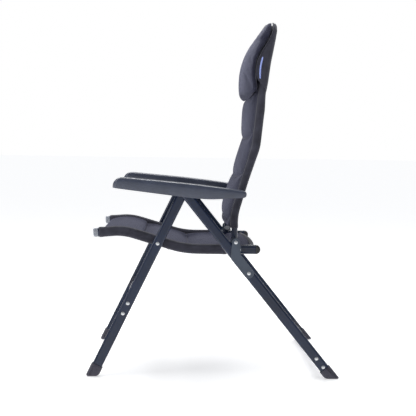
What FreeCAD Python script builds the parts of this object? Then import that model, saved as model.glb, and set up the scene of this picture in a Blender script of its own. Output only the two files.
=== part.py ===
import FreeCAD, Part
import math
import os

# Folding camp chair with a reclining back, sizes in millimetres and degrees.
# x runs to the sitter's left, y to the rear and z up, with the floor at z = 0.
# One side is modelled and mirrored. The leg pivot stands over y = 0 while the
# parts are made, and the last step moves all of them to centre the chair in y.

# Legs: flat oval tubes that cross at the leg pivot, rear pair outside the front pair
PIVOT_HEIGHT = 614.0
REAR_LEAN = 39.0
FRONT_LEAN = 25.7
REAR_LEG_X = 294.0
LEG_DEPTH = 33.0
LEG_THICK = 15.0
TUBE_WALL = 1.5
LAYER_GAP = 6.0
LEG_TOP = 8.0
FOOT_HEIGHT = 42.0
FOOT_WALL = 3.0
FOOT_SOLE = 20.0
FOOT_EDGE = 4.0

# Pivots of the folding linkage, measured down a leg from the leg pivot
SEAT_PIVOT_DOWN = 192.0
LINK_PIVOT_DOWN = 341.0
BACK_PIVOT_DOWN = 235.0
BACK_PIVOT_BEHIND = 29.5
RECLINE_ANGLE = 35.0

# Fits
RUNNING_FIT = 0.08
SLIP_FIT = 0.15
SIDE_GAP = 0.9
CLOTH_GAP = 0.4

# Cross bars between the legs, and their riveted plastic ends
FRONT_BAR_DOWN = 430.0
REAR_BAR_TO_FOOT = 1.0
BAR_END_LENGTH = 52.0
BAR_END_WIDTH = 27.0
BAR_END_FLANGE = 4.0
BAR_END_SOCKET = 22.0
BAR_RIVET_PITCH = 37.0
RIVET_RADIUS = 2.5
RIVET_HEAD = 5.8
RIVET_HEAD_HIGH = 1.8

# Pins
PIN_RADIUS = 5.0
LINK_PIN_RADIUS = 4.0
PIN_HEAD = 8.0
PIN_HEAD_THICK = 1.6
WASHER_RADIUS = 14.0

# Rear link: two plates on each rear leg that carry the back pivot
LINK_THICK = 3.0
LINK_INNER_THICK = 2.4
LINK_BEND_DOWN = 272.0
LINK_TOP_RADIUS = 12.0
LINK_SPACER_RADIUS = 9.0

# Seat frame: oval tube, open at the front, looped round at the rear
RAIL_HEIGHT = 31.0
RAIL_WIDTH = 18.0
RAIL_TO_LEG = 10.0
RAIL_OVER_PIVOT = 6.0
RAIL_SLOPE = 16.5
RAIL_DROP = 29.0
RAIL_HUMP_AHEAD = 112.0
RAIL_NOSE_AHEAD = 196.0
RAIL_NOSE_DROP = 7.0
RAIL_TAIL = 70.0
RAIL_HUMP_RADIUS = 170.0
RAIL_DIP_RADIUS = 330.0
PLUG_LENGTH = 16.0
PLUG_INSERT = 18.0
SPREADER_BEHIND = 35.0
SPREADER_RADIUS = 7.0
SPREADER_DIP = 12.0
SEAT_BAR_BEHIND = 54.0
SEAT_BAR_BOW = 16.0
SEAT_BAR_RADIUS = 8.0
HINGE_PLATE = 3.2
HINGE_PLATE_TOP = 11.0
HINGE_PLATE_FOOT = 52.0

# Back frame: round tube bent to the body and closed over the head
BACK_TUBE = 20.0
BACK_TO_RAIL = 5.5
BACK_SHANK = 85.0
BACK_LUMBAR_LEAN = 16.5
BACK_LUMBAR_RISE = 235.0
BACK_HEAD_LEAN = 6.0
BACK_HEIGHT = 720.0
BACK_BEND_RADIUS = 190.0
BACK_CORNER_RADIUS = 75.0
BACK_TAIL = 12.0
BRACE_HEIGHT = 100.0
BRACE_RADIUS = 7.0
BRACE_BOW = 17.0

# Covers
SLEEVE = 1.5
SEAT_PAD_UP = 9.0
SEAT_PAD_DOWN = 12.0
SEAT_COVER_INSET = 2.0
SEAT_SLEEVE_TO_PIVOT = 28.0
BACK_PAD_FRONT = 22.0
BACK_PAD_REAR = 7.0
BACK_COVER_START = 38.0
PILLOW_BOTTOM = 505.0
PILLOW_FRONT = 47.0
PILLOW_TOP_FRONT = 27.0
PILLOW_WRAP = 6.0
PILLOW_HOOD = 200.0
PILLOW_ROUND = 18.0

# Armrests: hollow mouldings hinged to the back, resting on the leg pivot pins
ARM_HINGE_UP = 156.0
ARM_WIDTH = 55.0
ARM_TO_LEG = 6.0
ARM_WALL = 3.0
ARM_LENGTH = 418.0
ARM_BOSS = 11.0
ARM_NOSE_TOP = 35.0
ARM_NOSE_BOTTOM = -1.0
ARM_MID_TOP = 25.0
ARM_MID_BOTTOM = -22.0
ARM_NOSE_RADIUS = 26.0
ARM_PLAN_RADIUS = 24.0
ARM_BUSH_WALL = 3.0
RACK_THICK = 7.0
RACK_CLEARANCE = 1.2
RACK_NOTCH_DEPTH = 4.0
RACK_POSITIONS = 7
RACK_MARGIN = 14.0

# Lateral layers, from the legs inwards
front_leg_x = REAR_LEG_X - LEG_THICK - LAYER_GAP
rear_outer = REAR_LEG_X + LEG_THICK / 2
rear_inner = REAR_LEG_X - LEG_THICK / 2
front_outer = front_leg_x + LEG_THICK / 2
front_inner = front_leg_x - LEG_THICK / 2
rail_outer = front_inner - RAIL_TO_LEG
rail_x = rail_outer - RAIL_WIDTH / 2
rail_inner = rail_outer - RAIL_WIDTH
back_x = rail_inner - BACK_TO_RAIL - BACK_TUBE / 2
arm_inner = front_inner - ARM_TO_LEG
arm_outer = arm_inner + ARM_WIDTH
link_inner_x = rear_inner - SIDE_GAP - LINK_INNER_THICK
link_outer_x = rear_outer + SIDE_GAP

X_AXIS = FreeCAD.Vector(1, 0, 0)
ORIGIN = FreeCAD.Vector(0, 0, 0)
nodes = {}


def turn(y, z, angle):
    """Rotate a side-view direction; front to up is negative, front to down positive."""
    c = math.cos(math.radians(angle))
    s = math.sin(math.radians(angle))
    return (c * y - s * z, s * y + c * z)


def on_leg(lean, down, behind=0.0):
    """Side-view place of a point measured down a leg and square to it."""
    y, z = turn(behind, -down, lean)
    return (y, z + PIVOT_HEIGHT)


leg_pivot = (0.0, PIVOT_HEIGHT)
seat_pivot = on_leg(-FRONT_LEAN, SEAT_PIVOT_DOWN)
link_pivot = on_leg(REAR_LEAN, LINK_PIVOT_DOWN)
back_pivot = on_leg(REAR_LEAN, BACK_PIVOT_DOWN, BACK_PIVOT_BEHIND)


def stand(shape, lean):
    """Take a shape from a leg's own upright frame to its place on the chair."""
    placed = shape.copy()
    placed.rotate(ORIGIN, X_AXIS, lean)
    placed.translate(FreeCAD.Vector(0, 0, PIVOT_HEIGHT))
    return placed


def mirrored(shape):
    return shape.mirror(ORIGIN, X_AXIS)


def both_sides(shapes):
    """The given left solids and their right twins, as one group."""
    return Part.makeCompound(list(shapes) + [mirrored(s) for s in shapes])


def rod(radius, x_start, x_end, place):
    """Cylinder along x at a side-view place."""
    base = FreeCAD.Vector(x_start, place[0], place[1])
    return Part.makeCylinder(radius, x_end - x_start, base, X_AXIS)


def ring(outer, inner, x_start, x_end, place):
    return rod(outer, x_start, x_end, place).cut(rod(inner, x_start - 1, x_end + 1, place))


def rivet(radius, head, x_start, x_end, place, head_high=RIVET_HEAD_HIGH):
    """Shank with a flat foot at x_start and a low domed head outside x_end."""
    shank = rod(radius, x_start, x_end, place)
    ball = (head ** 2 + head_high ** 2) / (2 * head_high)
    centre = FreeCAD.Vector(x_end + head_high - ball, place[0], place[1])
    dome = Part.makeSphere(ball, centre).common(rod(head, x_end, x_end + head_high, place))
    return shank.fuse(dome).removeSplitter()


def corner_arcs(points, closed):
    """Edges of a side-view outline whose corners (y, z, radius) are rounded."""
    count = len(points)
    ends = []
    for i, (y, z, radius) in enumerate(points):
        here = FreeCAD.Vector(0, y, z)
        if radius == 0 or (not closed and i in (0, count - 1)):
            ends.append((here, here, None))
            continue
        before = FreeCAD.Vector(0, points[i - 1][0], points[i - 1][1]) - here
        after_point = points[(i + 1) % count]
        after = FreeCAD.Vector(0, after_point[0], after_point[1]) - here
        before.normalize()
        after.normalize()
        half = before.getAngle(after) / 2
        reach = radius / math.tan(half)
        middle = (before + after).normalize() * (radius / math.sin(half) - radius)
        ends.append((here + before * reach, here + after * reach, here + middle))
    edges = []
    for i, (start, end, middle) in enumerate(ends):
        if middle is not None:
            edges.append(Part.Arc(start, middle, end).toShape())
        if not closed and i == count - 1:
            continue
        following = ends[(i + 1) % count][0]
        if end.distanceToPoint(following) > 1e-6:
            edges.append(Part.LineSegment(end, following).toShape())
    return edges


def plate(points, x_start, x_end):
    """Flat part with a rounded side-view outline."""
    face = Part.Face(Part.Wire(corner_arcs(points, True)))
    face.translate(FreeCAD.Vector(x_start, 0, 0))
    return face.extrude(FreeCAD.Vector(x_end - x_start, 0, 0))


def offset_path(points, distance):
    """The open path moved sideways, positive to its left, with its radii adjusted."""
    normals = []
    for (y1, z1, _), (y2, z2, _) in zip(points, points[1:]):
        length = math.hypot(y2 - y1, z2 - z1)
        normals.append((-(z2 - z1) / length, (y2 - y1) / length))
    moved = []
    for i, (y, z, radius) in enumerate(points):
        first = normals[max(i - 1, 0)]
        second = normals[min(i, len(normals) - 1)]
        share = 1 + first[0] * second[0] + first[1] * second[1]
        shift_y = (first[0] + second[0]) / share * distance
        shift_z = (first[1] + second[1]) / share * distance
        left_turn = first[0] * second[1] - first[1] * second[0] > 0
        grown = radius - distance if left_turn else radius + distance
        moved.append((y + shift_y, z + shift_z, grown if radius else 0))
    return moved


def band(points, left, right, x_start, x_end):
    """Strip along a path, from left of it to right of it, given a width in x."""
    edge_a = offset_path(points, left)
    edge_b = offset_path(points, -right)
    return plate(edge_a + edge_b[::-1], x_start, x_end)


def oval_face(depth, thick, centre, long_axis, short_axis):
    """Flat oval: half circles at both ends of the long axis."""
    side = long_axis * ((depth - thick) / 2)
    out = short_axis * (thick / 2)
    tip = long_axis * (depth / 2)
    a, b = centre + side + out, centre - side + out
    c, d = centre - side - out, centre + side - out
    edges = [Part.LineSegment(a, b).toShape(), Part.Arc(b, centre - tip, c).toShape()]
    edges += [Part.LineSegment(c, d).toShape(), Part.Arc(d, centre + tip, a).toShape()]
    return Part.Face(Part.Wire(edges))


def oval_bar(depth, thick, x, z_start, z_end):
    """Upright oval bar in a leg's own frame."""
    face = oval_face(depth, thick, FreeCAD.Vector(x, 0, z_start),
                     FreeCAD.Vector(0, 1, 0), FreeCAD.Vector(1, 0, 0))
    return face.extrude(FreeCAD.Vector(0, 0, z_end - z_start))


def oval_cross(depth, thick, x_start, x_end, down):
    """Level oval bar across the chair in a leg's own frame, long side along the leg."""
    face = oval_face(depth, thick, FreeCAD.Vector(x_start, 0, -down),
                     FreeCAD.Vector(0, 0, 1), FreeCAD.Vector(0, 1, 0))
    return face.extrude(FreeCAD.Vector(x_end - x_start, 0, 0))


def pulled(face, edges):
    """Solid made by drawing a face along a path of lines and arcs."""
    return Part.Wire(edges).makePipeShell([face.OuterWire], True, False)


def tapered_link(place_a, radius_a, place_b, radius_b, x_start, x_end):
    """Flat link: two round ends joined by their outer tangents."""
    dy, dz = place_b[0] - place_a[0], place_b[1] - place_a[1]
    length = math.hypot(dy, dz)
    heading = math.atan2(dz, dy)
    spread = math.acos((radius_a - radius_b) / length)
    body = rod(radius_a, x_start, x_end, place_a).fuse(rod(radius_b, x_start, x_end, place_b))
    corners = []
    for place, radius, side in ((place_a, radius_a, 1), (place_b, radius_b, 1),
                                (place_b, radius_b, -1), (place_a, radius_a, -1)):
        angle = heading + side * spread
        corners.append((place[0] + radius * math.cos(angle), place[1] + radius * math.sin(angle), 0))
    return body.fuse(plate(corners, x_start, x_end)).removeSplitter()


# Legs and feet

def leg_length(lean):
    return PIVOT_HEIGHT / math.cos(math.radians(lean))


rear_bar_down = leg_length(REAR_LEAN) - FOOT_HEIGHT - REAR_BAR_TO_FOOT - BAR_END_LENGTH / 2


def leg_tube(x, lean, holes):
    """One oval leg tube with its cross holes, upright under the leg pivot."""
    bottom = FOOT_SOLE - leg_length(lean)
    tube = oval_bar(LEG_DEPTH, LEG_THICK, x, bottom, LEG_TOP)
    inside = oval_bar(LEG_DEPTH - 2 * TUBE_WALL, LEG_THICK - 2 * TUBE_WALL, x, bottom - 1, LEG_TOP + 1)
    tube = tube.cut(inside)
    for down, radius in holes:
        tube = tube.cut(rod(radius, x - LEG_THICK, x + LEG_THICK, (0, -down)))
    return stand(tube, lean)


def leg_cap(x, lean):
    """Round plastic plug that closes the top of a leg tube."""
    insert = 2.5
    over = oval_bar(LEG_DEPTH, LEG_THICK, x, LEG_TOP, LEG_DEPTH / 2)
    over = over.common(rod(LEG_DEPTH / 2, x - LEG_THICK, x + LEG_THICK, (0, 0)))
    shrink = 2 * (TUBE_WALL + SLIP_FIT)
    plug = oval_bar(LEG_DEPTH - shrink, LEG_THICK - shrink, x, LEG_TOP - insert, LEG_TOP)
    return stand(over.fuse(plug).removeSplitter(), lean)


def foot(x, lean):
    """Moulded foot: a collar over the tube end, level with the floor, edges rounded."""
    length = leg_length(lean)
    outside = oval_bar(LEG_DEPTH + 2 * FOOT_WALL, LEG_THICK + 2 * FOOT_WALL, x,
                       -length - LEG_DEPTH, -length + FOOT_HEIGHT)
    socket = oval_bar(LEG_DEPTH + 2 * SLIP_FIT, LEG_THICK + 2 * SLIP_FIT, x,
                      FOOT_SOLE - SLIP_FIT - length, -length + FOOT_HEIGHT + 1)
    ground = Part.makeBox(400, 2000, 400, FreeCAD.Vector(x - 200, -1000, -400))
    shape = stand(outside, lean).cut(ground)
    sole = [e for e in shape.Edges if e.BoundBox.ZMax < 0.01]
    shape = shape.makeFillet(FOOT_EDGE, sole)
    return shape.cut(stand(socket, lean))


def cross_bar(x_face, down, lean):
    """Oval bar between two legs."""
    half = x_face - BAR_END_FLANGE - 2 * SLIP_FIT
    bar = oval_cross(LEG_DEPTH, LEG_THICK, -half, half, down)
    hollow = oval_cross(LEG_DEPTH - 2 * TUBE_WALL, LEG_THICK - 2 * TUBE_WALL, -half - 1, half + 1, down)
    return stand(bar.cut(hollow), lean)


def bar_end(x_face, down, lean):
    """Plastic fitting riveted to a leg, with a socket for the cross bar."""
    face = x_face - SLIP_FIT
    inner = face - BAR_END_FLANGE
    flange = oval_cross(BAR_END_LENGTH, BAR_END_WIDTH, inner, face, down)
    collar = oval_cross(LEG_DEPTH + 5, LEG_THICK + 5, inner - BAR_END_SOCKET, inner, down)
    socket = oval_cross(LEG_DEPTH + 2 * SLIP_FIT, LEG_THICK + 2 * SLIP_FIT,
                        inner - BAR_END_SOCKET - 1, inner, down)
    shape = flange.fuse(collar.cut(socket)).removeSplitter()
    for place in bar_rivet_places(down):
        shape = shape.cut(rod(RIVET_RADIUS + SLIP_FIT, inner - 40, face + 1, place))
        shape = shape.cut(rod(RIVET_HEAD, inner - 40, inner, place))
    return stand(shape, lean)


def bar_rivet_places(down):
    return [(0, -down + side * BAR_RIVET_PITCH / 2) for side in (1, -1)]


def bar_rivets(x_face, x_outer, down, lean):
    inner = x_face - SLIP_FIT - BAR_END_FLANGE
    return [stand(rivet(RIVET_RADIUS, RIVET_HEAD, inner, x_outer, place), lean)
            for place in bar_rivet_places(down)]


def make_legs():
    rivet_hole = RIVET_RADIUS + SLIP_FIT
    half_pitch = BAR_RIVET_PITCH / 2
    rear_holes = [(0, PIN_RADIUS + RUNNING_FIT), (LINK_PIVOT_DOWN, LINK_PIN_RADIUS + RUNNING_FIT),
                  (rear_bar_down - half_pitch, rivet_hole), (rear_bar_down + half_pitch, rivet_hole)]
    front_holes = [(0, PIN_RADIUS + RUNNING_FIT), (SEAT_PIVOT_DOWN, LINK_PIN_RADIUS + RUNNING_FIT),
                   (FRONT_BAR_DOWN - half_pitch, rivet_hole), (FRONT_BAR_DOWN + half_pitch, rivet_hole)]
    sets = (("rear", REAR_LEG_X, REAR_LEAN, rear_holes, rear_inner, rear_outer, rear_bar_down),
            ("front", front_leg_x, -FRONT_LEAN, front_holes, front_inner, front_outer, FRONT_BAR_DOWN))
    for name, x, lean, holes, inner, outer, bar_down in sets:
        tube = leg_tube(x, lean, holes)
        shoe = foot(x, lean)
        nodes[name + "_leg_left"] = tube
        nodes[name + "_leg_right"] = mirrored(tube)
        nodes[name + "_foot_left"] = shoe
        nodes[name + "_foot_right"] = mirrored(shoe)
        nodes[name + "_leg_caps"] = both_sides([leg_cap(x, lean)])
        nodes[name + "_cross_bar"] = cross_bar(inner, bar_down, lean)
        nodes[name + "_cross_bar_ends"] = both_sides([bar_end(inner, bar_down, lean)])
        nodes[name + "_cross_bar_rivets"] = both_sides(bar_rivets(inner, outer, bar_down, lean))


# Pins of the leg pivot, and of the seat on the front legs

def make_leg_pins():
    head_start = front_inner - SLIP_FIT - PIN_HEAD_THICK
    pin = rod(PIN_RADIUS, head_start, arm_outer - ARM_WALL - 1.5, leg_pivot)
    pin = pin.fuse(rod(PIN_HEAD, head_start, head_start + PIN_HEAD_THICK, leg_pivot)).removeSplitter()
    nodes["leg_pivot_pins"] = both_sides([pin])
    washer = ring(WASHER_RADIUS, PIN_RADIUS + SLIP_FIT, front_outer + SLIP_FIT,
                  rear_inner - SLIP_FIT, leg_pivot)
    nodes["leg_pivot_washers"] = both_sides([washer])


def make_seat_pins():
    bush_face = rail_outer + SLEEVE + 0.1
    spacer_start = bush_face + SLIP_FIT
    pin = rivet(LINK_PIN_RADIUS, RIVET_HEAD, spacer_start, front_outer, seat_pivot)
    nodes["seat_pivot_rivets"] = both_sides([pin])
    spacer = ring(LINK_SPACER_RADIUS, LINK_PIN_RADIUS + SLIP_FIT, spacer_start,
                  front_inner - SLIP_FIT, seat_pivot)
    nodes["seat_pivot_spacers"] = both_sides([spacer])
    bush = rod(LINK_SPACER_RADIUS, rail_outer + SLIP_FIT / 2, bush_face, seat_pivot)
    nodes["seat_pivot_bushes"] = both_sides([bush])


# Rear links

def make_links():
    bend = on_leg(REAR_LEAN, LINK_BEND_DOWN)
    half = LEG_DEPTH / 2
    for name, x_start, x_end in (("outer", link_outer_x, link_outer_x + LINK_THICK),
                                 ("inner", link_inner_x, link_inner_x + LINK_INNER_THICK)):
        lower = tapered_link(link_pivot, half, bend, half - 0.01, x_start, x_end)
        upper = tapered_link(bend, half, back_pivot, LINK_TOP_RADIUS, x_start, x_end)
        shape = lower.fuse(upper).removeSplitter()
        shape = shape.cut(rod(LINK_PIN_RADIUS + RUNNING_FIT, x_start - 1, x_end + 1, link_pivot))
        shape = shape.cut(rod(LINK_PIN_RADIUS + RUNNING_FIT, x_start - 1, x_end + 1, back_pivot))
        nodes["link_" + name + "_plate_left"] = shape
        nodes["link_" + name + "_plate_right"] = mirrored(shape)
    head = link_outer_x + LINK_THICK + SLIP_FIT
    foot_start = link_inner_x - SLIP_FIT - PIN_HEAD_THICK
    lower_pin = rivet(LINK_PIN_RADIUS, RIVET_HEAD, foot_start, head, link_pivot)
    lower_pin = lower_pin.fuse(rod(PIN_HEAD, foot_start, foot_start + PIN_HEAD_THICK, link_pivot))
    nodes["link_pivot_rivets"] = both_sides([lower_pin.removeSplitter()])
    inner_end = back_x - BACK_TUBE / 2 - 2.5
    upper_pin = rivet(LINK_PIN_RADIUS, RIVET_HEAD, inner_end, head, back_pivot)
    upper_pin = upper_pin.fuse(rod(PIN_HEAD, inner_end - PIN_HEAD_THICK, inner_end, back_pivot))
    nodes["back_pivot_pins"] = both_sides([upper_pin.removeSplitter()])
    hole = LINK_PIN_RADIUS + SLIP_FIT
    between_plates = ring(LINK_SPACER_RADIUS, hole, link_inner_x + LINK_INNER_THICK + SLIP_FIT,
                          link_outer_x - SLIP_FIT, back_pivot)
    to_seat = ring(LINK_SPACER_RADIUS, hole, rail_outer + HINGE_PLATE + 3 * SLIP_FIT,
                   link_inner_x - SLIP_FIT, back_pivot)
    nodes["link_spacers"] = both_sides([between_plates, to_seat])


# Seat

def seat_path():
    """Centre line of a seat rail, rear to front, as side-view corners."""
    slope = math.tan(math.radians(RAIL_SLOPE))
    rear_z = back_pivot[1] - RAIL_DROP
    over_z = seat_pivot[1] + RAIL_OVER_PIVOT
    dip_y = seat_pivot[0] + (over_z - rear_z) / slope
    hump = (seat_pivot[0] - RAIL_HUMP_AHEAD, over_z + RAIL_HUMP_AHEAD * slope)
    nose = (seat_pivot[0] - RAIL_NOSE_AHEAD, hump[1] - RAIL_NOSE_DROP)
    tail = (back_pivot[0] + RAIL_TAIL, rear_z)
    return [(tail[0], tail[1], 0), (dip_y, rear_z, RAIL_DIP_RADIUS),
            (hump[0], hump[1], RAIL_HUMP_RADIUS), (nose[0], nose[1], 0)]


def seat_rails(depth, thick):
    """Both seat rails in the given flat-oval section."""
    points = seat_path()
    tail_y, tail_z, _ = points[0]
    path = Part.Wire(corner_arcs(points, False))
    path.translate(FreeCAD.Vector(rail_x, 0, 0))
    face = oval_face(depth, thick, FreeCAD.Vector(rail_x, tail_y, tail_z),
                     FreeCAD.Vector(0, 0, 1), X_AXIS)
    rail = pulled(face, path.Edges)
    return rail.fuse(mirrored(rail))


def seat_bar_arc(reach):
    """Centre line of the bar that ties the rails behind the sitter, bowed to the rear."""
    y = back_pivot[0] + SEAT_BAR_BEHIND
    z = seat_path()[0][1]
    ends = [FreeCAD.Vector(side * reach, y, z) for side in (1, -1)]
    return Part.Arc(ends[0], FreeCAD.Vector(0, y + SEAT_BAR_BOW, z), ends[1]).toShape()


def seat_bar(radius, reach):
    """Round bar along that line, its ends cut square to the rails."""
    arc = seat_bar_arc(reach + 2)
    end = arc.valueAt(arc.FirstParameter)
    face = Part.Face(Part.Wire(Part.makeCircle(radius, end, arc.tangentAt(arc.FirstParameter))))
    return pulled(face, [arc]).common(rod(2 * RAIL_HEIGHT, -reach, reach, (end.y, end.z)))


def rear_plug():
    """Plug of a rail's rear end, its head a half disc as tall as the rail."""
    tail_y, tail_z, _ = seat_path()[0]
    head = rod(RAIL_HEIGHT / 2 - 0.5, rail_inner + 0.5, rail_outer - 0.5, (tail_y, tail_z))
    rims = [e for e in head.Edges if e.Closed]
    behind = Part.makeBox(2 * RAIL_WIDTH, RAIL_HEIGHT, 2 * RAIL_HEIGHT,
                          FreeCAD.Vector(rail_inner - 5, tail_y, tail_z - RAIL_HEIGHT))
    shrink = 2 * (TUBE_WALL + SLIP_FIT)
    insert = oval_face(RAIL_HEIGHT - shrink, RAIL_WIDTH - shrink, FreeCAD.Vector(rail_x, tail_y, tail_z),
                       FreeCAD.Vector(0, 0, 1), X_AXIS).extrude(FreeCAD.Vector(0, -PLUG_INSERT, 0))
    return head.makeFillet(5.0, rims).common(behind).fuse(insert).removeSplitter()


def spreader_tube(radius):
    """Dipped bar under the seat, from rail to rail."""
    y = seat_pivot[0] + SPREADER_BEHIND
    slope = math.tan(math.radians(RAIL_SLOPE))
    z = seat_pivot[1] + RAIL_OVER_PIVOT - SPREADER_BEHIND * slope - RAIL_HEIGHT / 4
    reach = rail_inner - 0.6
    points = [(-reach, z, 0), (-reach + 14, z, 14), (-reach + 50, z - SPREADER_DIP, 30),
              (reach - 50, z - SPREADER_DIP, 30), (reach - 14, z, 14), (reach, z, 0)]
    wire = Part.Wire(corner_arcs(points, False))
    wire.rotate(ORIGIN, FreeCAD.Vector(0, 0, 1), -90)
    wire.translate(FreeCAD.Vector(0, y, 0))
    start = wire.Edges[0].Vertexes[0].Point
    face = Part.Face(Part.Wire(Part.makeCircle(radius, start, X_AXIS)))
    return pulled(face, wire.Edges)


def make_seat():
    outside = seat_rails(RAIL_HEIGHT, RAIL_WIDTH)
    hollow = seat_rails(RAIL_HEIGHT - 2 * TUBE_WALL, RAIL_WIDTH - 2 * TUBE_WALL)
    nodes["seat_frame"] = outside.cut(hollow)
    points = seat_path()
    nose_y, nose_z, _ = points[-1]
    along = FreeCAD.Vector(0, points[-1][0] - points[-2][0], points[-1][1] - points[-2][1]).normalize()
    tip = FreeCAD.Vector(rail_x, nose_y, nose_z)
    upright = X_AXIS.cross(along)
    shrink = 2 * (TUBE_WALL + SLIP_FIT)
    head = oval_face(RAIL_HEIGHT - 2, RAIL_WIDTH - 1, tip, upright, X_AXIS).extrude(along * PLUG_LENGTH)
    front_edges = [e for e in head.Edges
                   if (e.CenterOfMass - tip).dot(along) > PLUG_LENGTH - 0.1]
    head = head.makeFillet(5.5, front_edges)
    insert = oval_face(RAIL_HEIGHT - shrink, RAIL_WIDTH - shrink, tip, upright, X_AXIS)
    plug = head.fuse(insert.extrude(along * -PLUG_INSERT)).removeSplitter()
    nodes["seat_end_plugs"] = both_sides([plug])
    nodes["seat_rear_plugs"] = both_sides([rear_plug()])
    reach = rail_inner - 0.6
    nodes["seat_rear_bar"] = seat_bar(SEAT_BAR_RADIUS, reach).cut(seat_bar(SEAT_BAR_RADIUS - TUBE_WALL, reach))

    spreader = spreader_tube(SPREADER_RADIUS)
    nodes["seat_spreader"] = spreader.cut(spreader_tube(SPREADER_RADIUS - TUBE_WALL))

    plate_start = rail_outer + SLIP_FIT
    plate_end = plate_start + HINGE_PLATE
    foot_z = back_pivot[1] - RAIL_DROP - RAIL_HEIGHT / 4
    half = HINGE_PLATE_FOOT / 2
    outline = [(back_pivot[0] - HINGE_PLATE_TOP, back_pivot[1] + HINGE_PLATE_TOP, HINGE_PLATE_TOP - 0.1),
               (back_pivot[0] + HINGE_PLATE_TOP, back_pivot[1] + HINGE_PLATE_TOP, HINGE_PLATE_TOP - 0.1),
               (back_pivot[0] + half, foot_z, 6), (back_pivot[0] - half, foot_z, 6)]
    hinge = plate(outline, plate_start, plate_end)
    hinge = hinge.cut(rod(LINK_PIN_RADIUS + RUNNING_FIT, plate_start - 1, plate_end + 1, back_pivot))
    rivets = []
    for side in (-1, 1):
        place = (back_pivot[0] + side * 15, back_pivot[1] - RAIL_DROP)
        hinge = hinge.cut(rod(RIVET_RADIUS + SLIP_FIT, plate_start - 1, plate_end + 1, place))
        rivets.append(rivet(RIVET_RADIUS, 4.5, plate_start, plate_end + SLIP_FIT / 2, place, 1.4))
    nodes["seat_hinge_plates"] = both_sides([hinge])
    nodes["seat_hinge_rivets"] = both_sides(rivets)
    nodes["seat_cover"] = seat_cover()


def seat_cover():
    """Padded panel inside the frame with a sleeve round each rail and round the rear bar."""
    points = seat_path()
    nose = points[-1]
    before = points[-2]
    run = math.hypot(nose[0] - before[0], nose[1] - before[1])
    share = SEAT_COVER_INSET / run
    start = (nose[0] + (before[0] - nose[0]) * share, nose[1] + (before[1] - nose[1]) * share, 0)
    tail_y, tail_z, _ = points[0]
    sleeve_path = [(back_pivot[0] - SEAT_SLEEVE_TO_PIVOT, tail_z, 0)] + points[1:-1] + [start]
    sleeve_half = RAIL_HEIGHT / 2 + SLEEVE
    side_reach = rail_inner - 4.0
    arc = seat_bar_arc(side_reach)
    corners = [arc.valueAt(arc.FirstParameter), arc.valueAt(arc.LastParameter)]
    front = [FreeCAD.Vector(corner.x, start[0] - RAIL_HEIGHT, corner.z) for corner in corners]
    ahead = [Part.LineSegment(corners[1], front[1]).toShape(), Part.LineSegment(front[1], front[0]).toShape(),
             Part.LineSegment(front[0], corners[0]).toShape()]
    plan = Part.Face(Part.Wire([arc] + ahead))
    plan.translate(FreeCAD.Vector(0, 0, -RAIL_HEIGHT))
    panel = band(points[:-1] + [start], SEAT_PAD_DOWN, SEAT_PAD_UP, -side_reach, side_reach)
    panel = panel.common(plan.extrude(FreeCAD.Vector(0, 0, 5 * RAIL_HEIGHT)))
    sleeve = band(sleeve_path, sleeve_half, sleeve_half, rail_inner - 4.0, rail_outer + SLEEVE)
    wrap = seat_bar(SEAT_BAR_RADIUS + SLEEVE, side_reach)
    cover = panel.fuse([sleeve, mirrored(sleeve), wrap]).removeSplitter()
    grow = 2 * CLOTH_GAP
    cover = cover.cut(seat_rails(RAIL_HEIGHT + grow, RAIL_WIDTH + grow))
    cover = cover.cut(seat_bar(SEAT_BAR_RADIUS + CLOTH_GAP, rail_inner))
    cover = cover.cut(spreader_tube(SPREADER_RADIUS + 1.5))
    opening = rod(LINK_SPACER_RADIUS + 2, rail_outer - 2, rail_outer + 10, seat_pivot)
    return cover.cut(opening).cut(mirrored(opening))


# Back

def back_path():
    """Centre line of a back side tube, bottom to top, as side-view corners."""
    base = (back_pivot[0], back_pivot[1] - BACK_TAIL)
    shank = (back_pivot[0], back_pivot[1] + BACK_SHANK)
    lumbar_back, lumbar_up = turn(0, BACK_LUMBAR_RISE, -BACK_LUMBAR_LEAN)
    lumbar = (shank[0] + lumbar_back, shank[1] + lumbar_up)
    rise = back_pivot[1] + BACK_HEIGHT - BACK_TUBE / 2 - lumbar[1]
    top = (lumbar[0] + rise * math.tan(math.radians(BACK_HEAD_LEAN)), lumbar[1] + rise)
    return [(base[0], base[1], 0), (shank[0], shank[1], BACK_BEND_RADIUS),
            (lumbar[0], lumbar[1], BACK_BEND_RADIUS), (top[0], top[1], 0)]


def back_tube(diameter):
    """Back frame tube of the given diameter, both sides and the top."""
    points = back_path()
    top_y, top_z, _ = points[-1]
    back_dir, up_dir = turn(0, 1, -BACK_HEAD_LEAN)
    climb = FreeCAD.Vector(0, back_dir, up_dir)
    end = FreeCAD.Vector(back_x, top_y, top_z)
    side = points[:]
    below = end - climb * BACK_CORNER_RADIUS
    side[-1] = (below.y, below.z, 0)
    left = Part.Wire(corner_arcs(side, False))
    left.translate(FreeCAD.Vector(back_x, 0, 0))
    swing = BACK_CORNER_RADIUS * (1 - math.sqrt(0.5))
    middle = end - climb * swing - X_AXIS * swing
    inward = end - X_AXIS * BACK_CORNER_RADIUS
    edges = left.Edges + [Part.Arc(below, middle, inward).toShape(),
                          Part.LineSegment(inward, FreeCAD.Vector(0, top_y, top_z)).toShape()]
    start = FreeCAD.Vector(back_x, points[0][0], points[0][1])
    face = Part.Face(Part.Wire(Part.makeCircle(diameter / 2, start, FreeCAD.Vector(0, 0, 1))))
    tube = pulled(face, edges)
    return tube.fuse(mirrored(tube)).removeSplitter()


def along_back(height, behind=0.0):
    """Side-view place at a height over the back pivot, behind the back centre line."""
    points = back_path()
    z = back_pivot[1] + height
    for (y1, z1, _), (y2, z2, _) in zip(points, points[1:]):
        if z <= z2:
            return (y1 + (y2 - y1) * (z - z1) / (z2 - z1) + behind, z)
    return (points[-1][0] + behind, z)


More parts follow.
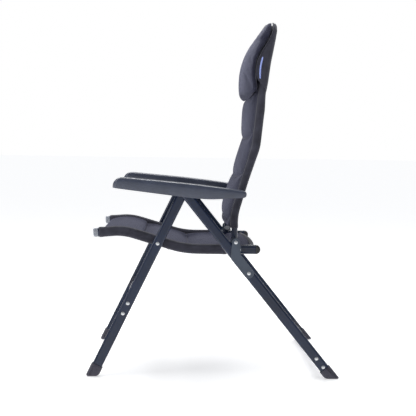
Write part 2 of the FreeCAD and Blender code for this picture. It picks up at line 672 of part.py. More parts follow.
def brace_tube(radius):
    """Round bar between the side tubes, bowed to the rear behind the cover."""
    place = along_back(BRACE_HEIGHT)
    reach = back_x - BACK_TUBE / 2 - 0.3
    ends = [FreeCAD.Vector(side * reach, place[0] + 4, place[1]) for side in (1, -1)]
    middle = FreeCAD.Vector(0, place[0] + BRACE_BOW, place[1])
    arc = Part.Arc(ends[0], middle, ends[1]).toShape()
    face = Part.Face(Part.Wire(Part.makeCircle(radius, ends[0], arc.tangentAt(arc.FirstParameter))))
    return pulled(face, [arc]).common(rod(BACK_TUBE * 2, -reach, reach, place))


def make_back():
    tube = back_tube(BACK_TUBE).cut(back_tube(BACK_TUBE - 2 * TUBE_WALL))
    bush_radius = LINK_PIN_RADIUS + RUNNING_FIT + 2.5
    x_start = back_x - BACK_TUBE
    x_end = back_x + BACK_TUBE
    for place, radius in ((back_pivot, bush_radius + RUNNING_FIT), (arm_place, PIN_RADIUS + RUNNING_FIT)):
        hole = rod(radius, x_start, x_end, place)
        tube = tube.cut(hole).cut(mirrored(hole))
    nodes["back_frame"] = tube
    bush = ring(bush_radius, LINK_PIN_RADIUS + RUNNING_FIT, back_x - BACK_TUBE / 2 - 1.5,
                back_x + BACK_TUBE / 2 + 1.5, back_pivot)
    nodes["back_pivot_bushes"] = both_sides([bush])

    bottom_z = back_pivot[1] - BACK_TAIL
    down = FreeCAD.Vector(0, 0, -1)
    end = FreeCAD.Vector(back_x, back_pivot[0], bottom_z)
    cap = Part.makeCylinder(BACK_TUBE / 2, 3, end, down)
    rim = [e for e in cap.Edges if e.BoundBox.ZMax < bottom_z - 2.9]
    nodes["back_end_caps"] = both_sides([cap.makeFillet(2.5, rim)])

    nodes["back_cross_brace"] = brace_tube(BRACE_RADIUS).cut(brace_tube(BRACE_RADIUS - TUBE_WALL))
    nodes["back_cover"] = back_cover()
    nodes["head_pillow"] = head_pillow()


def back_envelope(gap):
    """Outside of the back cover, grown by a gap: panel, side sleeves and top pocket."""
    points = back_path()
    start = along_back(BACK_COVER_START)
    top_y, top_z, _ = points[-1]
    back_dir, up_dir = turn(0, 1, -BACK_HEAD_LEAN)
    over = BACK_TUBE / 2 + SLEEVE + gap
    top = (top_y + back_dir * over, top_z + up_dir * over, 0)
    path = [(start[0], start[1] - gap, 0)] + points[1:-1] + [top]
    half_width = back_x + over
    panel_reach = back_x - BACK_TUBE / 2 - 4 + gap
    panel = band(path, BACK_PAD_FRONT + gap, BACK_PAD_REAR + gap, -panel_reach, panel_reach)
    sleeve = band(path, over, over, panel_reach - 1 - 2 * gap, half_width)
    pocket_path = [along_back(BACK_HEIGHT - BACK_CORNER_RADIUS - gap) + (0,), top]
    pocket = band(pocket_path, over, over, -half_width, half_width)
    envelope = panel.fuse([sleeve, mirrored(sleeve), pocket]).removeSplitter()
    return rounded_top(envelope, half_width, top, BACK_CORNER_RADIUS + over)


def rounded_top(shape, half_width, top, radius):
    """The shape with its two top corners rounded, square to the upper back."""
    block = Part.makeBox(radius + 20, 400, radius + 20,
                         FreeCAD.Vector(half_width - radius, -200, -radius))
    round_part = Part.makeCylinder(radius, 400, FreeCAD.Vector(half_width - radius, -200, -radius),
                                   FreeCAD.Vector(0, 1, 0))
    waste = block.cut(round_part)
    waste.rotate(ORIGIN, X_AXIS, -BACK_HEAD_LEAN)
    waste.translate(FreeCAD.Vector(0, top[0], top[1]))
    return shape.cut(waste).cut(mirrored(waste))


def back_cover():
    """Padded panel with a sleeve round each side tube and a pocket over the top."""
    cover = back_envelope(0).cut(back_tube(BACK_TUBE + 2 * CLOTH_GAP))
    opening = rod(ARM_BOSS + 2, back_x - BACK_TUBE, arm_inner, arm_place)
    return cover.cut([opening, mirrored(opening), brace_tube(BRACE_RADIUS + CLOTH_GAP)])


def head_pillow():
    """Wedge-shaped head pillow whose hood hangs over the top of the back."""
    low = along_back(PILLOW_BOTTOM)
    top_y, top_z, _ = back_path()[-1]
    back_dir, up_dir = turn(0, 1, -BACK_HEAD_LEAN)
    over = BACK_TUBE / 2 + SLEEVE + PILLOW_WRAP
    top = (top_y + back_dir * over, top_z + up_dir * over)
    hood = (top[0] - back_dir * PILLOW_HOOD, top[1] - up_dir * PILLOW_HOOD)
    outline = [(low[0] - PILLOW_FRONT, low[1] + 6, PILLOW_ROUND), (low[0] - BACK_TUBE / 2, low[1], 2),
               (hood[0] - BACK_TUBE / 2, hood[1], 0), (hood[0] + over, hood[1], 2),
               (top[0] + over, top[1], PILLOW_WRAP), (top[0] - PILLOW_TOP_FRONT, top[1], PILLOW_ROUND)]
    half_width = back_x + over
    shape = plate(outline, -half_width, half_width).cut(back_envelope(CLOTH_GAP))
    return rounded_top(shape, half_width, top, BACK_CORNER_RADIUS + over)


# Armrests

def to_arm(forward, up):
    """Side-view place from a distance ahead of the arm hinge and over its rest line."""
    heading = math.atan2(leg_pivot[1] - arm_place[1], leg_pivot[0] - arm_place[0])
    y = arm_place[0] + forward * math.cos(heading) + up * math.sin(heading)
    z = arm_place[1] + forward * math.sin(heading) - up * math.cos(heading)
    return (y, z)


def arm_outline(inset):
    """Side view of an armrest, drawn in by a wall thickness where inset is given."""
    corners = [(-ARM_BOSS, -ARM_BOSS, ARM_BOSS - 0.1), (-ARM_BOSS, ARM_BOSS, ARM_BOSS - 0.1),
               (170, ARM_MID_TOP, 400), (ARM_LENGTH, ARM_NOSE_TOP, ARM_NOSE_RADIUS),
               (ARM_LENGTH, ARM_NOSE_BOTTOM, 5), (115, ARM_MID_BOTTOM, 60)]
    if inset:
        corners = [(ARM_BOSS + 2 * inset, -60, 0), (ARM_BOSS + 2 * inset, ARM_BOSS + 1.5 - inset, 3),
                   (170, ARM_MID_TOP - inset, 400),
                   (ARM_LENGTH - inset, ARM_NOSE_TOP - inset, ARM_NOSE_RADIUS - inset),
                   (ARM_LENGTH - inset, -60, 0)]
    return [to_arm(s, h) + (r,) for s, h, r in corners]


def arm_plan():
    """Everything inside the armrest's plan outline, seen from above."""
    front = arm_place[0] - ARM_LENGTH - 1
    rear = arm_place[0] + ARM_BOSS + 1
    z = leg_pivot[1] - 100
    box = Part.makeBox(ARM_WIDTH, rear - front, 200, FreeCAD.Vector(arm_inner, front, z))
    edges = [e for e in box.Edges if e.BoundBox.ZLength > 100 and e.BoundBox.YMax < front + 1]
    return box.makeFillet(ARM_PLAN_RADIUS, edges)


def make_arms():
    shell = plate(arm_outline(0), arm_inner, arm_outer).common(arm_plan())
    hollow = plate(arm_outline(ARM_WALL), arm_inner + ARM_WALL, arm_outer - ARM_WALL)
    inner_plan = arm_plan()
    inner_plan.translate(FreeCAD.Vector(0, ARM_WALL, 0))
    shell = shell.cut(hollow.common(inner_plan))
    bush_radius = PIN_RADIUS + RUNNING_FIT + ARM_BUSH_WALL
    shell = shell.cut(rod(bush_radius + RUNNING_FIT, arm_inner - 1, arm_outer - ARM_WALL, arm_place))
    nodes["armrest_left"] = shell
    nodes["armrest_right"] = mirrored(shell)
    bush = ring(bush_radius, PIN_RADIUS + RUNNING_FIT, arm_inner + 0.3, arm_outer - ARM_WALL - 0.5, arm_place)
    nodes["arm_hinge_bushes"] = both_sides([bush])
    head_start = back_x - BACK_TUBE / 2 - 4
    pin = rod(PIN_RADIUS, head_start, arm_outer - ARM_WALL - 1, arm_place)
    pin = pin.fuse(rod(PIN_HEAD, head_start - 1, head_start + 2, arm_place)).removeSplitter()
    nodes["arm_hinge_pins"] = both_sides([pin])
    base = ring(ARM_BOSS, PIN_RADIUS + RUNNING_FIT, back_x, arm_inner - 1.5, arm_place)
    nodes["arm_hinge_bases"] = both_sides([base.cut(back_tube(BACK_TUBE + 0.2))])

    rest_reach = math.hypot(leg_pivot[0] - arm_place[0], leg_pivot[1] - arm_place[1])
    swing_y, swing_z = turn(arm_place[0] - back_pivot[0], arm_place[1] - back_pivot[1], -RECLINE_ANGLE)
    far_reach = math.hypot(back_pivot[0] + swing_y - leg_pivot[0], back_pivot[1] + swing_z - leg_pivot[1])
    pitch = (far_reach - rest_reach) / (RACK_POSITIONS - 1)
    low = PIN_RADIUS + RACK_CLEARANCE
    high = ARM_MID_TOP - ARM_WALL - 3.5
    outline = [to_arm(s, h) + (r,) for s, h, r in
               ((rest_reach - RACK_MARGIN, low, 1), (rest_reach - RACK_MARGIN, high - 2, 1),
                (far_reach + RACK_MARGIN, high + 1, 1), (far_reach + RACK_MARGIN, low, 1))]
    x_end = arm_outer - ARM_WALL - SLIP_FIT
    rack = plate(outline, x_end - RACK_THICK, x_end)
    for step in range(RACK_POSITIONS):
        place = to_arm(rest_reach + step * pitch, low + RACK_NOTCH_DEPTH - PIN_RADIUS - SLIP_FIT)
        rack = rack.cut(rod(PIN_RADIUS + SLIP_FIT, x_end - RACK_THICK - 1, x_end + 1, place))
    nodes["arm_rack_left"] = rack
    nodes["arm_rack_right"] = mirrored(rack)


# The arm hinge sits on the back tube's centre line
arm_place = along_back(ARM_HINGE_UP)

make_legs()
make_leg_pins()
make_seat_pins()
make_links()
make_seat()
make_back()
make_arms()

boxes = [shape.optimalBoundingBox(False, False) for shape in nodes.values()]
middle_y = (min(b.YMin for b in boxes) + max(b.YMax for b in boxes)) / 2
os.makedirs("parts", exist_ok=True)
for name, shape in nodes.items():
    shape.translate(FreeCAD.Vector(0, -middle_y, 0))
    shape.exportStep("parts/" + name + ".step")

for name, place in (("leg pivot", leg_pivot), ("seat pivot", seat_pivot), ("link pivot", link_pivot),
                    ("back pivot", back_pivot), ("arm hinge", arm_place)):
    print(name, "y", round(place[0] - middle_y, 3), "z", round(place[1], 3))
print(len(nodes), "nodes")
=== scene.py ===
import math
import bmesh
import bpy
from mathutils import Matrix, Vector, noise
from mathutils.bvhtree import BVHTree


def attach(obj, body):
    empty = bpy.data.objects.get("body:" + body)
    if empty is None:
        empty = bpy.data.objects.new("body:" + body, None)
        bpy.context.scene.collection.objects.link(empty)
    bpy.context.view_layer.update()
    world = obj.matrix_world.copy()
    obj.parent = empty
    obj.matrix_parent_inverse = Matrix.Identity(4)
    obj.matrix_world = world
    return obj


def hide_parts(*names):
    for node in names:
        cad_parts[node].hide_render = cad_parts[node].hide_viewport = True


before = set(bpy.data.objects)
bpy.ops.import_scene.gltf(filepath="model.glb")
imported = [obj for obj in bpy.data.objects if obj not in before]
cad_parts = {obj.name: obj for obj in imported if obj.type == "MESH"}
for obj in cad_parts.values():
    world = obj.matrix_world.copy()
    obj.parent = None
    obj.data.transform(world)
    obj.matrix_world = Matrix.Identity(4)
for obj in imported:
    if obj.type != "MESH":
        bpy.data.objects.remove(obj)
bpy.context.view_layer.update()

scene = bpy.context.scene


# Camera: on the sitter's left, about level with the armrests, turned a little
# to the rear and down, as a product picture of a chair from its side is taken.

EYE = Vector((3.07, -0.125, 0.7555))
YAW, PITCH, ROLL = 0.0370, 0.0702, 0.0140
LENS = 74.4

ahead = Vector((-math.cos(YAW) * math.cos(PITCH), math.sin(YAW) * math.cos(PITCH), -math.sin(PITCH)))
level = ahead.cross(Vector((0, 0, 1))).normalized()
upright = level.cross(ahead)
right = level * math.cos(ROLL) + upright * math.sin(ROLL)
up = upright * math.cos(ROLL) - level * math.sin(ROLL)
camera = bpy.data.objects.new("camera", bpy.data.cameras.new("camera"))
camera.data.sensor_width = 36
camera.data.lens = LENS
camera.matrix_world = Matrix.Translation(EYE) @ Matrix((right, up, -ahead)).transposed().to_4x4()
scene.collection.objects.link(camera)
scene.camera = camera


# Studio: a white sweep of lacquered board under large soft lights. The board
# is slightly glossy, so the feet leave a faint reflection on it.

FLOOR_SIZE = 60
SKY_SEEN = 1.0
SKY_LIGHT = 0.34
SWEEP_GLOW_NEAR, SWEEP_GLOW_FAR = 0.36, 0.68


def colour(code):
    """sRGB hex as the linear RGBA of a socket."""
    parts = [int(code[i:i + 2], 16) / 255 for i in (1, 3, 5)]
    return [p / 12.92 if p <= 0.04045 else ((p + 0.055) / 1.055) ** 2.4 for p in parts] + [1.0]


def add(tree, kind, inputs=None, stops=None, **settings):
    """Add a node with its settings, its values and links, and a ramp's stops."""
    made = tree.nodes.new(kind)
    for key, value in settings.items():
        setattr(made, key, value)
    for key, value in (inputs or {}).items():
        if isinstance(value, bpy.types.NodeSocket):
            tree.links.new(value, made.inputs[key])
        else:
            made.inputs[key].default_value = value
    for i, (place, tone) in enumerate(stops or []):
        ramp = made.color_ramp.elements
        stop = ramp[i] if i < 2 else ramp.new(place)
        stop.position = place
        stop.color = colour(tone)
    return made


def new_material(name, **values):
    """A material, its tree and its shader, with the values set on the shader."""
    material = bpy.data.materials.new(name)
    material.use_nodes = True
    shader = material.node_tree.nodes["Principled BSDF"]
    for key, value in values.items():
        shader.inputs[key.replace("_", " ")].default_value = value
    return material, material.node_tree, shader


def put_in_scene(name, bm, materials):
    """Turn a bmesh into a smooth-shaded object."""
    mesh = bpy.data.meshes.new(name)
    bm.to_mesh(mesh)
    bm.free()
    mesh.shade_smooth()
    for material in materials:
        mesh.materials.append(material)
    made = bpy.data.objects.new(name, mesh)
    scene.collection.objects.link(made)
    return made


# lacquered board: a hard white surface with a soft gloss
board, tree, shader = new_material("lacquered white board", Roughness=0.32, IOR=1.35)
place = add(tree, "ShaderNodeTexCoord")
grain = add(tree, "ShaderNodeTexNoise", {"Vector": place.outputs["Object"], "Scale": 3.0})
tone = add(tree, "ShaderNodeValToRGB", {"Fac": grain.outputs["Fac"]},
           [(0.35, "#FBFBFC"), (0.65, "#FEFEFE")])
tree.links.new(tone.outputs["Color"], shader.inputs["Base Color"])
# the board is lit through from below, more so away from the lamps
away = add(tree, "ShaderNodeVectorMath", {0: place.outputs["Object"]}, operation="LENGTH")
glow = add(tree, "ShaderNodeMapRange", {"Value": away.outputs["Value"], "From Min": 0.6, "From Max": 4.5,
                                        "To Min": SWEEP_GLOW_NEAR, "To Max": SWEEP_GLOW_FAR})
shader.inputs["Emission Color"].default_value = colour("#FFFFFF")
tree.links.new(glow.outputs["Result"], shader.inputs["Emission Strength"])

bm = bmesh.new()
bmesh.ops.create_grid(bm, x_segments=1, y_segments=1, size=FLOOR_SIZE)
floor = put_in_scene("floor", bm, [board])

world = bpy.data.worlds.new("studio")
scene.world = world
world.use_nodes = True
tree = world.node_tree
tree.nodes.clear()
path = add(tree, "ShaderNodeLightPath")
soft = add(tree, "ShaderNodeBackground", {"Color": colour("#EEF1F6"), "Strength": SKY_LIGHT})
bright = add(tree, "ShaderNodeBackground", {"Color": colour("#FFFFFF"), "Strength": SKY_SEEN})
mix = add(tree, "ShaderNodeMixShader", {0: path.outputs["Is Camera Ray"], 1: soft.outputs[0],
                                        2: bright.outputs[0]})
add(tree, "ShaderNodeOutputWorld", {"Surface": mix.outputs[0]})

# name, place, target, width, height, power
SOFTBOXES = (("top softbox", (0.2, -0.3, 3.1), (0, 0, 0.5), 2.6, 2.6, 52),
             ("front softbox", (1.1, -3.0, 1.9), (0, 0, 0.6), 1.2, 2.2, 34),
             ("far strip", (-1.9, -0.3, 2.5), (0, 0, 0.6), 3.2, 0.7, 64),
             ("rear strip", (-0.6, 3.0, 2.0), (0, 0, 0.6), 0.7, 2.0, 16))
for name, where, target, wide, high, power in SOFTBOXES:
    lamp = bpy.data.lights.new(name, "AREA")
    lamp.shape = "RECTANGLE"
    lamp.size = wide
    lamp.size_y = high
    lamp.energy = power
    box = bpy.data.objects.new(name, lamp)
    facing = (Vector(target) - Vector(where)).to_track_quat("-Z", "Y")
    box.matrix_world = Matrix.LocRotScale(Vector(where), facing, None)
    scene.collection.objects.link(box)
scene.view_settings.view_transform = "Standard"


# Legs and cross bars: flat oval aluminium tubes, stove enamelled in dark blue.
# The cross bars sit in moulded ends that are riveted to the legs.


def finish_nodes(material, *names):
    """Give the CAD nodes a material."""
    for name in names:
        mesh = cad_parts[name].data
        mesh.materials.clear()
        mesh.materials.append(material)


# enamelled aluminium: deep, glossy, with the faint orange peel of sprayed enamel
enamel, tree, shader = new_material("enamelled aluminium", Roughness=0.26, Coat_Weight=0.35,
                                    Coat_Roughness=0.07, IOR=1.45, Specular_IOR_Level=0.35)
ENAMEL_PEEL_MM = 1.6
place = add(tree, "ShaderNodeTexCoord")
cloud = add(tree, "ShaderNodeTexNoise", {"Vector": place.outputs["Object"], "Scale": 7.0, "Detail": 3.0})
tone = add(tree, "ShaderNodeValToRGB", {"Fac": cloud.outputs["Fac"]},
           [(0.3, "#0B1830"), (0.7, "#12223E")])
tree.links.new(tone.outputs["Color"], shader.inputs["Base Color"])
peel = add(tree, "ShaderNodeTexNoise", {"Vector": place.outputs["Object"],
                                        "Scale": 1000 / ENAMEL_PEEL_MM / 2, "Detail": 1.0})
bump = add(tree, "ShaderNodeBump", {"Height": peel.outputs["Fac"], "Strength": 0.08, "Distance": 0.0004})
tree.links.new(bump.outputs["Normal"], shader.inputs["Normal"])
tree.links.new(bump.outputs["Normal"], shader.inputs["Coat Normal"])

finish_nodes(enamel, "rear_leg_left", "rear_leg_right", "front_leg_left", "front_leg_right",
             "rear_cross_bar", "front_cross_bar")

# glass-filled nylon: tough dull plastic with a mottled, slightly purple grey
nylon, tree, shader = new_material("glass-filled nylon", IOR=1.53)
NYLON_GRAIN_MM = 2.5
place = add(tree, "ShaderNodeTexCoord")
mottle = add(tree, "ShaderNodeTexNoise", {"Vector": place.outputs["Object"],
                                          "Scale": 1000 / NYLON_GRAIN_MM / 2, "Detail": 4.0})
tone = add(tree, "ShaderNodeValToRGB", {"Fac": mottle.outputs["Fac"]},
           [(0.3, "#2E2D3A"), (0.7, "#42404F")])
tree.links.new(tone.outputs["Color"], shader.inputs["Base Color"])
dull = add(tree, "ShaderNodeMapRange", {"Value": mottle.outputs["Fac"], "To Min": 0.42, "To Max": 0.62})
tree.links.new(dull.outputs["Result"], shader.inputs["Roughness"])
bump = add(tree, "ShaderNodeBump", {"Height": mottle.outputs["Fac"], "Strength": 0.25, "Distance": 0.0005})
tree.links.new(bump.outputs["Normal"], shader.inputs["Normal"])

finish_nodes(nylon, "rear_leg_caps", "front_leg_caps", "rear_cross_bar_ends", "front_cross_bar_ends",
             "leg_pivot_washers")


# Feet: one moulded nylon shoe pushed over the end of each leg tube, with a
# thick collar and a sole that is level with the ground and well rounded.

LEG_PIVOT = (-0.101137, 0.614)
LEGS = (("rear", 0.294, 39.0, "rear_frame"), ("front", 0.273, -25.7, "front_frame"))
FOOT_DEPTH, FOOT_THICK, FOOT_TALL = 0.039, 0.021, 0.042
FOOT_WALL = 0.0027
FOOT_ROUND = 0.0095


def flat_oval(share, half_long, half_short):
    """Place on a flat oval, by the share of the way round it from its short side."""
    side = 2 * (half_long - half_short)
    end = math.pi * half_short
    way = (share % 1.0) * 2 * (side + end)
    if way < side / 2:
        return (half_short, way)
    if way < side / 2 + end:
        angle = (way - side / 2) / half_short
        return (half_short * math.cos(angle), side / 2 + half_short * math.sin(angle))
    if way < 1.5 * side + end:
        return (-half_short, side / 2 - (way - side / 2 - end))
    if way < 1.5 * side + 2 * end:
        angle = math.pi + (way - 1.5 * side - end) / half_short
        return (half_short * math.cos(angle), -side / 2 + half_short * math.sin(angle))
    return (half_short, way - 2 * side - 2 * end)


def mirrored_copy(bm):
    """The same mesh on the other side of the chair, facing outwards."""
    twin = bm.copy()
    bmesh.ops.scale(twin, vec=(-1, 1, 1), verts=twin.verts)
    bmesh.ops.reverse_faces(twin, faces=twin.faces)
    return twin


def face_outwards(bm):
    """Turn every face of a shape, open or closed, away from its middle."""
    bmesh.ops.recalc_face_normals(bm, faces=bm.faces)
    middle = sum((v.co for v in bm.verts), Vector()) / len(bm.verts)
    if sum(f.normal.dot(f.calc_center_median() - middle) * f.calc_area() for f in bm.faces) < 0:
        bmesh.ops.reverse_faces(bm, faces=bm.faces)


def thicken(made, thickness, edge=0.0):
    """A live wall inwards, and a small round on its sharp edges."""
    wall = made.modifiers.new("wall", "SOLIDIFY")
    wall.thickness = thickness
    wall.offset = -1
    if edge:
        soften = made.modifiers.new("edges", "BEVEL")
        soften.width = edge
        soften.segments = 2
        soften.limit_method = "ANGLE"
        soften.angle_limit = math.radians(50)
        soften.harden_normals = False


for name, leg_x, lean, body in LEGS:
    length = LEG_PIVOT[1] / math.cos(math.radians(lean))
    bm = bmesh.new()
    bmesh.ops.create_circle(bm, cap_ends=False, segments=48, radius=1)
    for v in bm.verts:
        share = (math.atan2(v.co.y, v.co.x) / (2 * math.pi)) % 1.0
        across, along = flat_oval(share, FOOT_DEPTH / 2, FOOT_THICK / 2)
        v.co = (leg_x + across, along, FOOT_TALL - length)
    ring = bmesh.ops.extrude_edge_only(bm, edges=bm.edges[:])["geom"]
    low = [g for g in ring if isinstance(g, bmesh.types.BMVert)]
    bmesh.ops.translate(bm, vec=(0, 0, -FOOT_TALL - FOOT_DEPTH), verts=low)
    bmesh.ops.transform(bm, verts=bm.verts, matrix=Matrix.Translation((0, LEG_PIVOT[0], LEG_PIVOT[1]))
                        @ Matrix.Rotation(math.radians(lean), 4, "X"))
    cut = bmesh.ops.bisect_plane(bm, geom=bm.verts[:] + bm.edges[:] + bm.faces[:], plane_co=(0, 0, 0),
                                 plane_no=(0, 0, -1), clear_outer=True)["geom_cut"]
    rim = [g for g in cut if isinstance(g, bmesh.types.BMEdge)]
    bmesh.ops.contextual_create(bm, geom=rim)
    rim = [e for e in bm.edges if all(v.co.z < 1e-5 for v in e.verts)]
    bmesh.ops.bevel(bm, geom=rim, offset=FOOT_ROUND, segments=6, profile=0.5, affect="EDGES",
                    material=-1, clamp_overlap=True)
    face_outwards(bm)
    twin = mirrored_copy(bm)
    for side, shape in (("left", bm), ("right", twin)):
        foot = put_in_scene(name + "_shoe_" + side, shape, [nylon])
        thicken(foot, FOOT_WALL, 0.0008)
        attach(foot, body)
        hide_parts(name + "_foot_" + side)


# Rivets and pins: zinc-plated steel, headed over cold, with the small dull
# dimples that plating and the riveting tool leave.

zinc, tree, shader = new_material("zinc-plated steel", Metallic=1.0)
place = add(tree, "ShaderNodeTexCoord")
spangle = add(tree, "ShaderNodeTexVoronoi", {"Vector": place.outputs["Object"], "Scale": 420.0})
tone = add(tree, "ShaderNodeValToRGB", {"Fac": spangle.outputs["Distance"]},
           [(0.0, "#B9BBBE"), (0.8, "#DADCDE")])
tree.links.new(tone.outputs["Color"], shader.inputs["Base Color"])
worn = add(tree, "ShaderNodeMapRange", {"Value": spangle.outputs["Distance"], "To Min": 0.22, "To Max": 0.4})
tree.links.new(worn.outputs["Result"], shader.inputs["Roughness"])
bump = add(tree, "ShaderNodeBump", {"Height": spangle.outputs["Distance"], "Strength": 0.15,
                                    "Distance": 0.0003})
tree.links.new(bump.outputs["Normal"], shader.inputs["Normal"])

finish_nodes(zinc, "rear_cross_bar_rivets", "front_cross_bar_rivets", "leg_pivot_pins",
             "link_pivot_rivets", "seat_pivot_rivets", "back_pivot_pins", "seat_hinge_rivets",
             "arm_hinge_pins")


# Link plates and seat hinge plates: pressed steel, powder coated in a greyer
# blue than the tubes, pinned to the rear legs and riveted to the seat rails.

# powder-coated steel: satin, with a fine pebbled texture
powder, tree, shader = new_material("powder-coated steel", Roughness=0.42, Coat_Weight=0.15,
                                    Coat_Roughness=0.3)
POWDER_GRAIN_MM = 1.2
place = add(tree, "ShaderNodeTexCoord")
cloud = add(tree, "ShaderNodeTexNoise", {"Vector": place.outputs["Object"], "Scale": 22.0, "Detail": 2.0})
tone = add(tree, "ShaderNodeValToRGB", {"Fac": cloud.outputs["Fac"]},
           [(0.3, "#353E4C"), (0.7, "#3F4958")])
tree.links.new(tone.outputs["Color"], shader.inputs["Base Color"])
pebble = add(tree, "ShaderNodeTexNoise", {"Vector": place.outputs["Object"],
                                          "Scale": 1000 / POWDER_GRAIN_MM / 2, "Detail": 2.0})
bump = add(tree, "ShaderNodeBump", {"Height": pebble.outputs["Fac"], "Strength": 0.3, "Distance": 0.0003})
tree.links.new(bump.outputs["Normal"], shader.inputs["Normal"])

finish_nodes(powder, "link_outer_plate_left", "link_outer_plate_right", "link_inner_plate_left",
             "link_inner_plate_right", "seat_hinge_plates")

# acetal: smooth, slightly waxy black plastic of the bushes and spacers
acetal, tree, shader = new_material("acetal", Roughness=0.35, IOR=1.48)
place = add(tree, "ShaderNodeTexCoord")
wax = add(tree, "ShaderNodeTexNoise", {"Vector": place.outputs["Object"], "Scale": 180.0})
tone = add(tree, "ShaderNodeValToRGB", {"Fac": wax.outputs["Fac"]}, [(0.3, "#17171A"), (0.7, "#242428")])
tree.links.new(tone.outputs["Color"], shader.inputs["Base Color"])

finish_nodes(acetal, "link_spacers", "seat_pivot_spacers", "seat_pivot_bushes", "back_pivot_bushes",
             "arm_hinge_bushes", "back_end_caps")


# Seat frame: two bent oval rails enamelled like the legs, tied by a round bar
# behind and a spreader below, with a pale plug in front and a dark one behind.

finish_nodes(enamel, "seat_frame", "seat_rear_bar", "seat_spreader")
finish_nodes(acetal, "seat_rear_plugs")

# polypropylene: pale grey, a little see-through at its edges, satin from the mould
pale_plastic, tree, shader = new_material("polypropylene plug", Roughness=0.38, IOR=1.49,
                                          Subsurface_Weight=0.08, Subsurface_Radius=(0.004, 0.004, 0.004))
place = add(tree, "ShaderNodeTexCoord")
flow = add(tree, "ShaderNodeTexNoise", {"Vector": place.outputs["Object"], "Scale": 90.0, "Detail": 2.0})
tone = add(tree, "ShaderNodeValToRGB", {"Fac": flow.outputs["Fac"]}, [(0.3, "#7F838C"), (0.7, "#8F939B")])
tree.links.new(tone.outputs["Color"], shader.inputs["Base Color"])
bump = add(tree, "ShaderNodeBump", {"Height": flow.outputs["Fac"], "Strength": 0.1, "Distance": 0.0004})
tree.links.new(bump.outputs["Normal"], shader.inputs["Normal"])

finish_nodes(pale_plastic, "seat_end_plugs")


# Seat cover: a padded panel of spacer mesh quilted across, sewn along each side
# to a sleeve of plain woven polyester that is drawn over the seat rail. A third sleeve
# wraps the rear edge round the bowed bar.

SEAT_LINE = ((0.17, 0.420936, 0), (-0.096432, 0.420936, 0.330),
             (-0.296399, 0.480169, 0.170), (-0.380399, 0.473169, 0))
RAIL_X = 0.2465
SEAT_PAD_HALF = 0.2355
SEAT_PAD_REAR, SEAT_PAD_FRONT = 0.1245, -0.3755
SEAT_TOP_MIDDLE, SEAT_TOP_EDGE, SEAT_UNDER = 0.0095, 0.005, -0.0105
SEAT_CHANNELS = (0.060, -0.085, -0.235)
SEAT_SLEEVE_REAR, SEAT_SLEEVE_FRONT = 0.042, -0.3765
SEAT_SLEEVE_TALL, SEAT_SLEEVE_WIDE = 0.0165, 0.0102
REAR_BAR_Y, REAR_BAR_Z, REAR_BAR_HALF, REAR_BAR_BOW = 0.12368, 0.420936, 0.2365, 0.016
REAR_SLEEVE = 0.0089
CLOTH_THICK = 0.0009
PAD_VOXEL = 0.006
CHANNEL_WIDE = 0.0055


def bent_line(corners):
    """Samples (distance, place, heading) along a side-view line with rounded corners."""
    places = []
    for i, (y, z, radius) in enumerate(corners):
        here = Vector((y, z))
        if radius == 0:
            places.append(here)
            continue
        before = (Vector(corners[i - 1][:2]) - here).normalized()
        after = (Vector(corners[i + 1][:2]) - here).normalized()
        half = before.angle(after) / 2
        centre = here + (before + after).normalized() * (radius / math.sin(half))
        start = here + before * (radius / math.tan(half)) - centre
        swing = math.pi - 2 * half
        if before.x * after.y - before.y * after.x > 0:
            swing = -swing
        for step in range(33):
            places.append(centre + Matrix.Rotation(swing * step / 32, 2) @ start)
    samples, distance = [], 0.0
    for i, here in enumerate(places):
        near = places[max(i - 1, 0)]
        beyond = places[min(i + 1, len(places) - 1)]
        distance += (here - near).length
        samples.append((distance, here, (beyond - near).normalized()))
    return samples


def on_line(line, distance, height, side):
    """Side-view place at a distance along a line and a height towards the sitter."""
    last = len(line) - 1
    i = next((k for k in range(1, last) if line[k][0] > distance), last)
    (s1, p1, t1), (s2, p2, t2) = line[i - 1], line[i]
    part = (distance - s1) / (s2 - s1)
    place = p1.lerp(p2, part)
    heading = t1.lerp(t2, min(max(part, 0), 1)).normalized()
    return place + Vector((heading.y, -heading.x)) * (height * side)


def reach(line, axis, value):
    """Distance along a line at which its y (axis 0) or z (axis 1) has a value."""
    for (s1, p1, _), (s2, p2, _) in zip(line, line[1:]):
        if (p1[axis] - value) * (p2[axis] - value) <= 0 and p1[axis] != p2[axis]:
            return s1 + (s2 - s1) * (value - p1[axis]) / (p2[axis] - p1[axis])
    raise ValueError("the line does not pass there")


def bend_onto(verts, line, side):
    """Take flat-built points (across, distance, height) to their place on a line."""
    for v in verts:
        y, z = on_line(line, v.co.y, v.co.z, side)
        v.co = (v.co.x, y, z)


def applied(made):
    """Make an object's modifiers part of its mesh."""
    bpy.context.view_layer.update()
    graph = bpy.context.evaluated_depsgraph_get()
    mesh = bpy.data.meshes.new_from_object(made.evaluated_get(graph))
    made.modifiers.clear()
    made.data = mesh


def flat_slab(half, start, end, thick, start_corner, end_corner, rim):
    """A slab lying flat, its four corners rounded in plan and its rims softened."""
    bm = bmesh.new()
    bmesh.ops.create_cube(bm, size=1)
    bmesh.ops.scale(bm, vec=(2 * half, end - start, thick), verts=bm.verts)
    bmesh.ops.translate(bm, vec=(0, (start + end) / 2, 0), verts=bm.verts)
    for y, radius in ((start, start_corner), (end, end_corner)):
        corners = [e for e in bm.edges if abs(e.verts[0].co.z - e.verts[1].co.z) > thick / 2
                   and abs(e.verts[0].co.y - y) < 1e-6]
        bmesh.ops.bevel(bm, geom=corners, offset=radius, segments=10, profile=0.5, affect="EDGES",
                        material=-1)
    rims = [e for e in bm.edges if abs(e.verts[0].co.z - e.verts[1].co.z) < 1e-6
            and len(e.link_faces) == 2 and e.calc_face_angle() > 1]
    bmesh.ops.bevel(bm, geom=rims, offset=rim, segments=3, profile=0.5, affect="EDGES", material=-1)
    return bm


AIR_FRAMES = 20


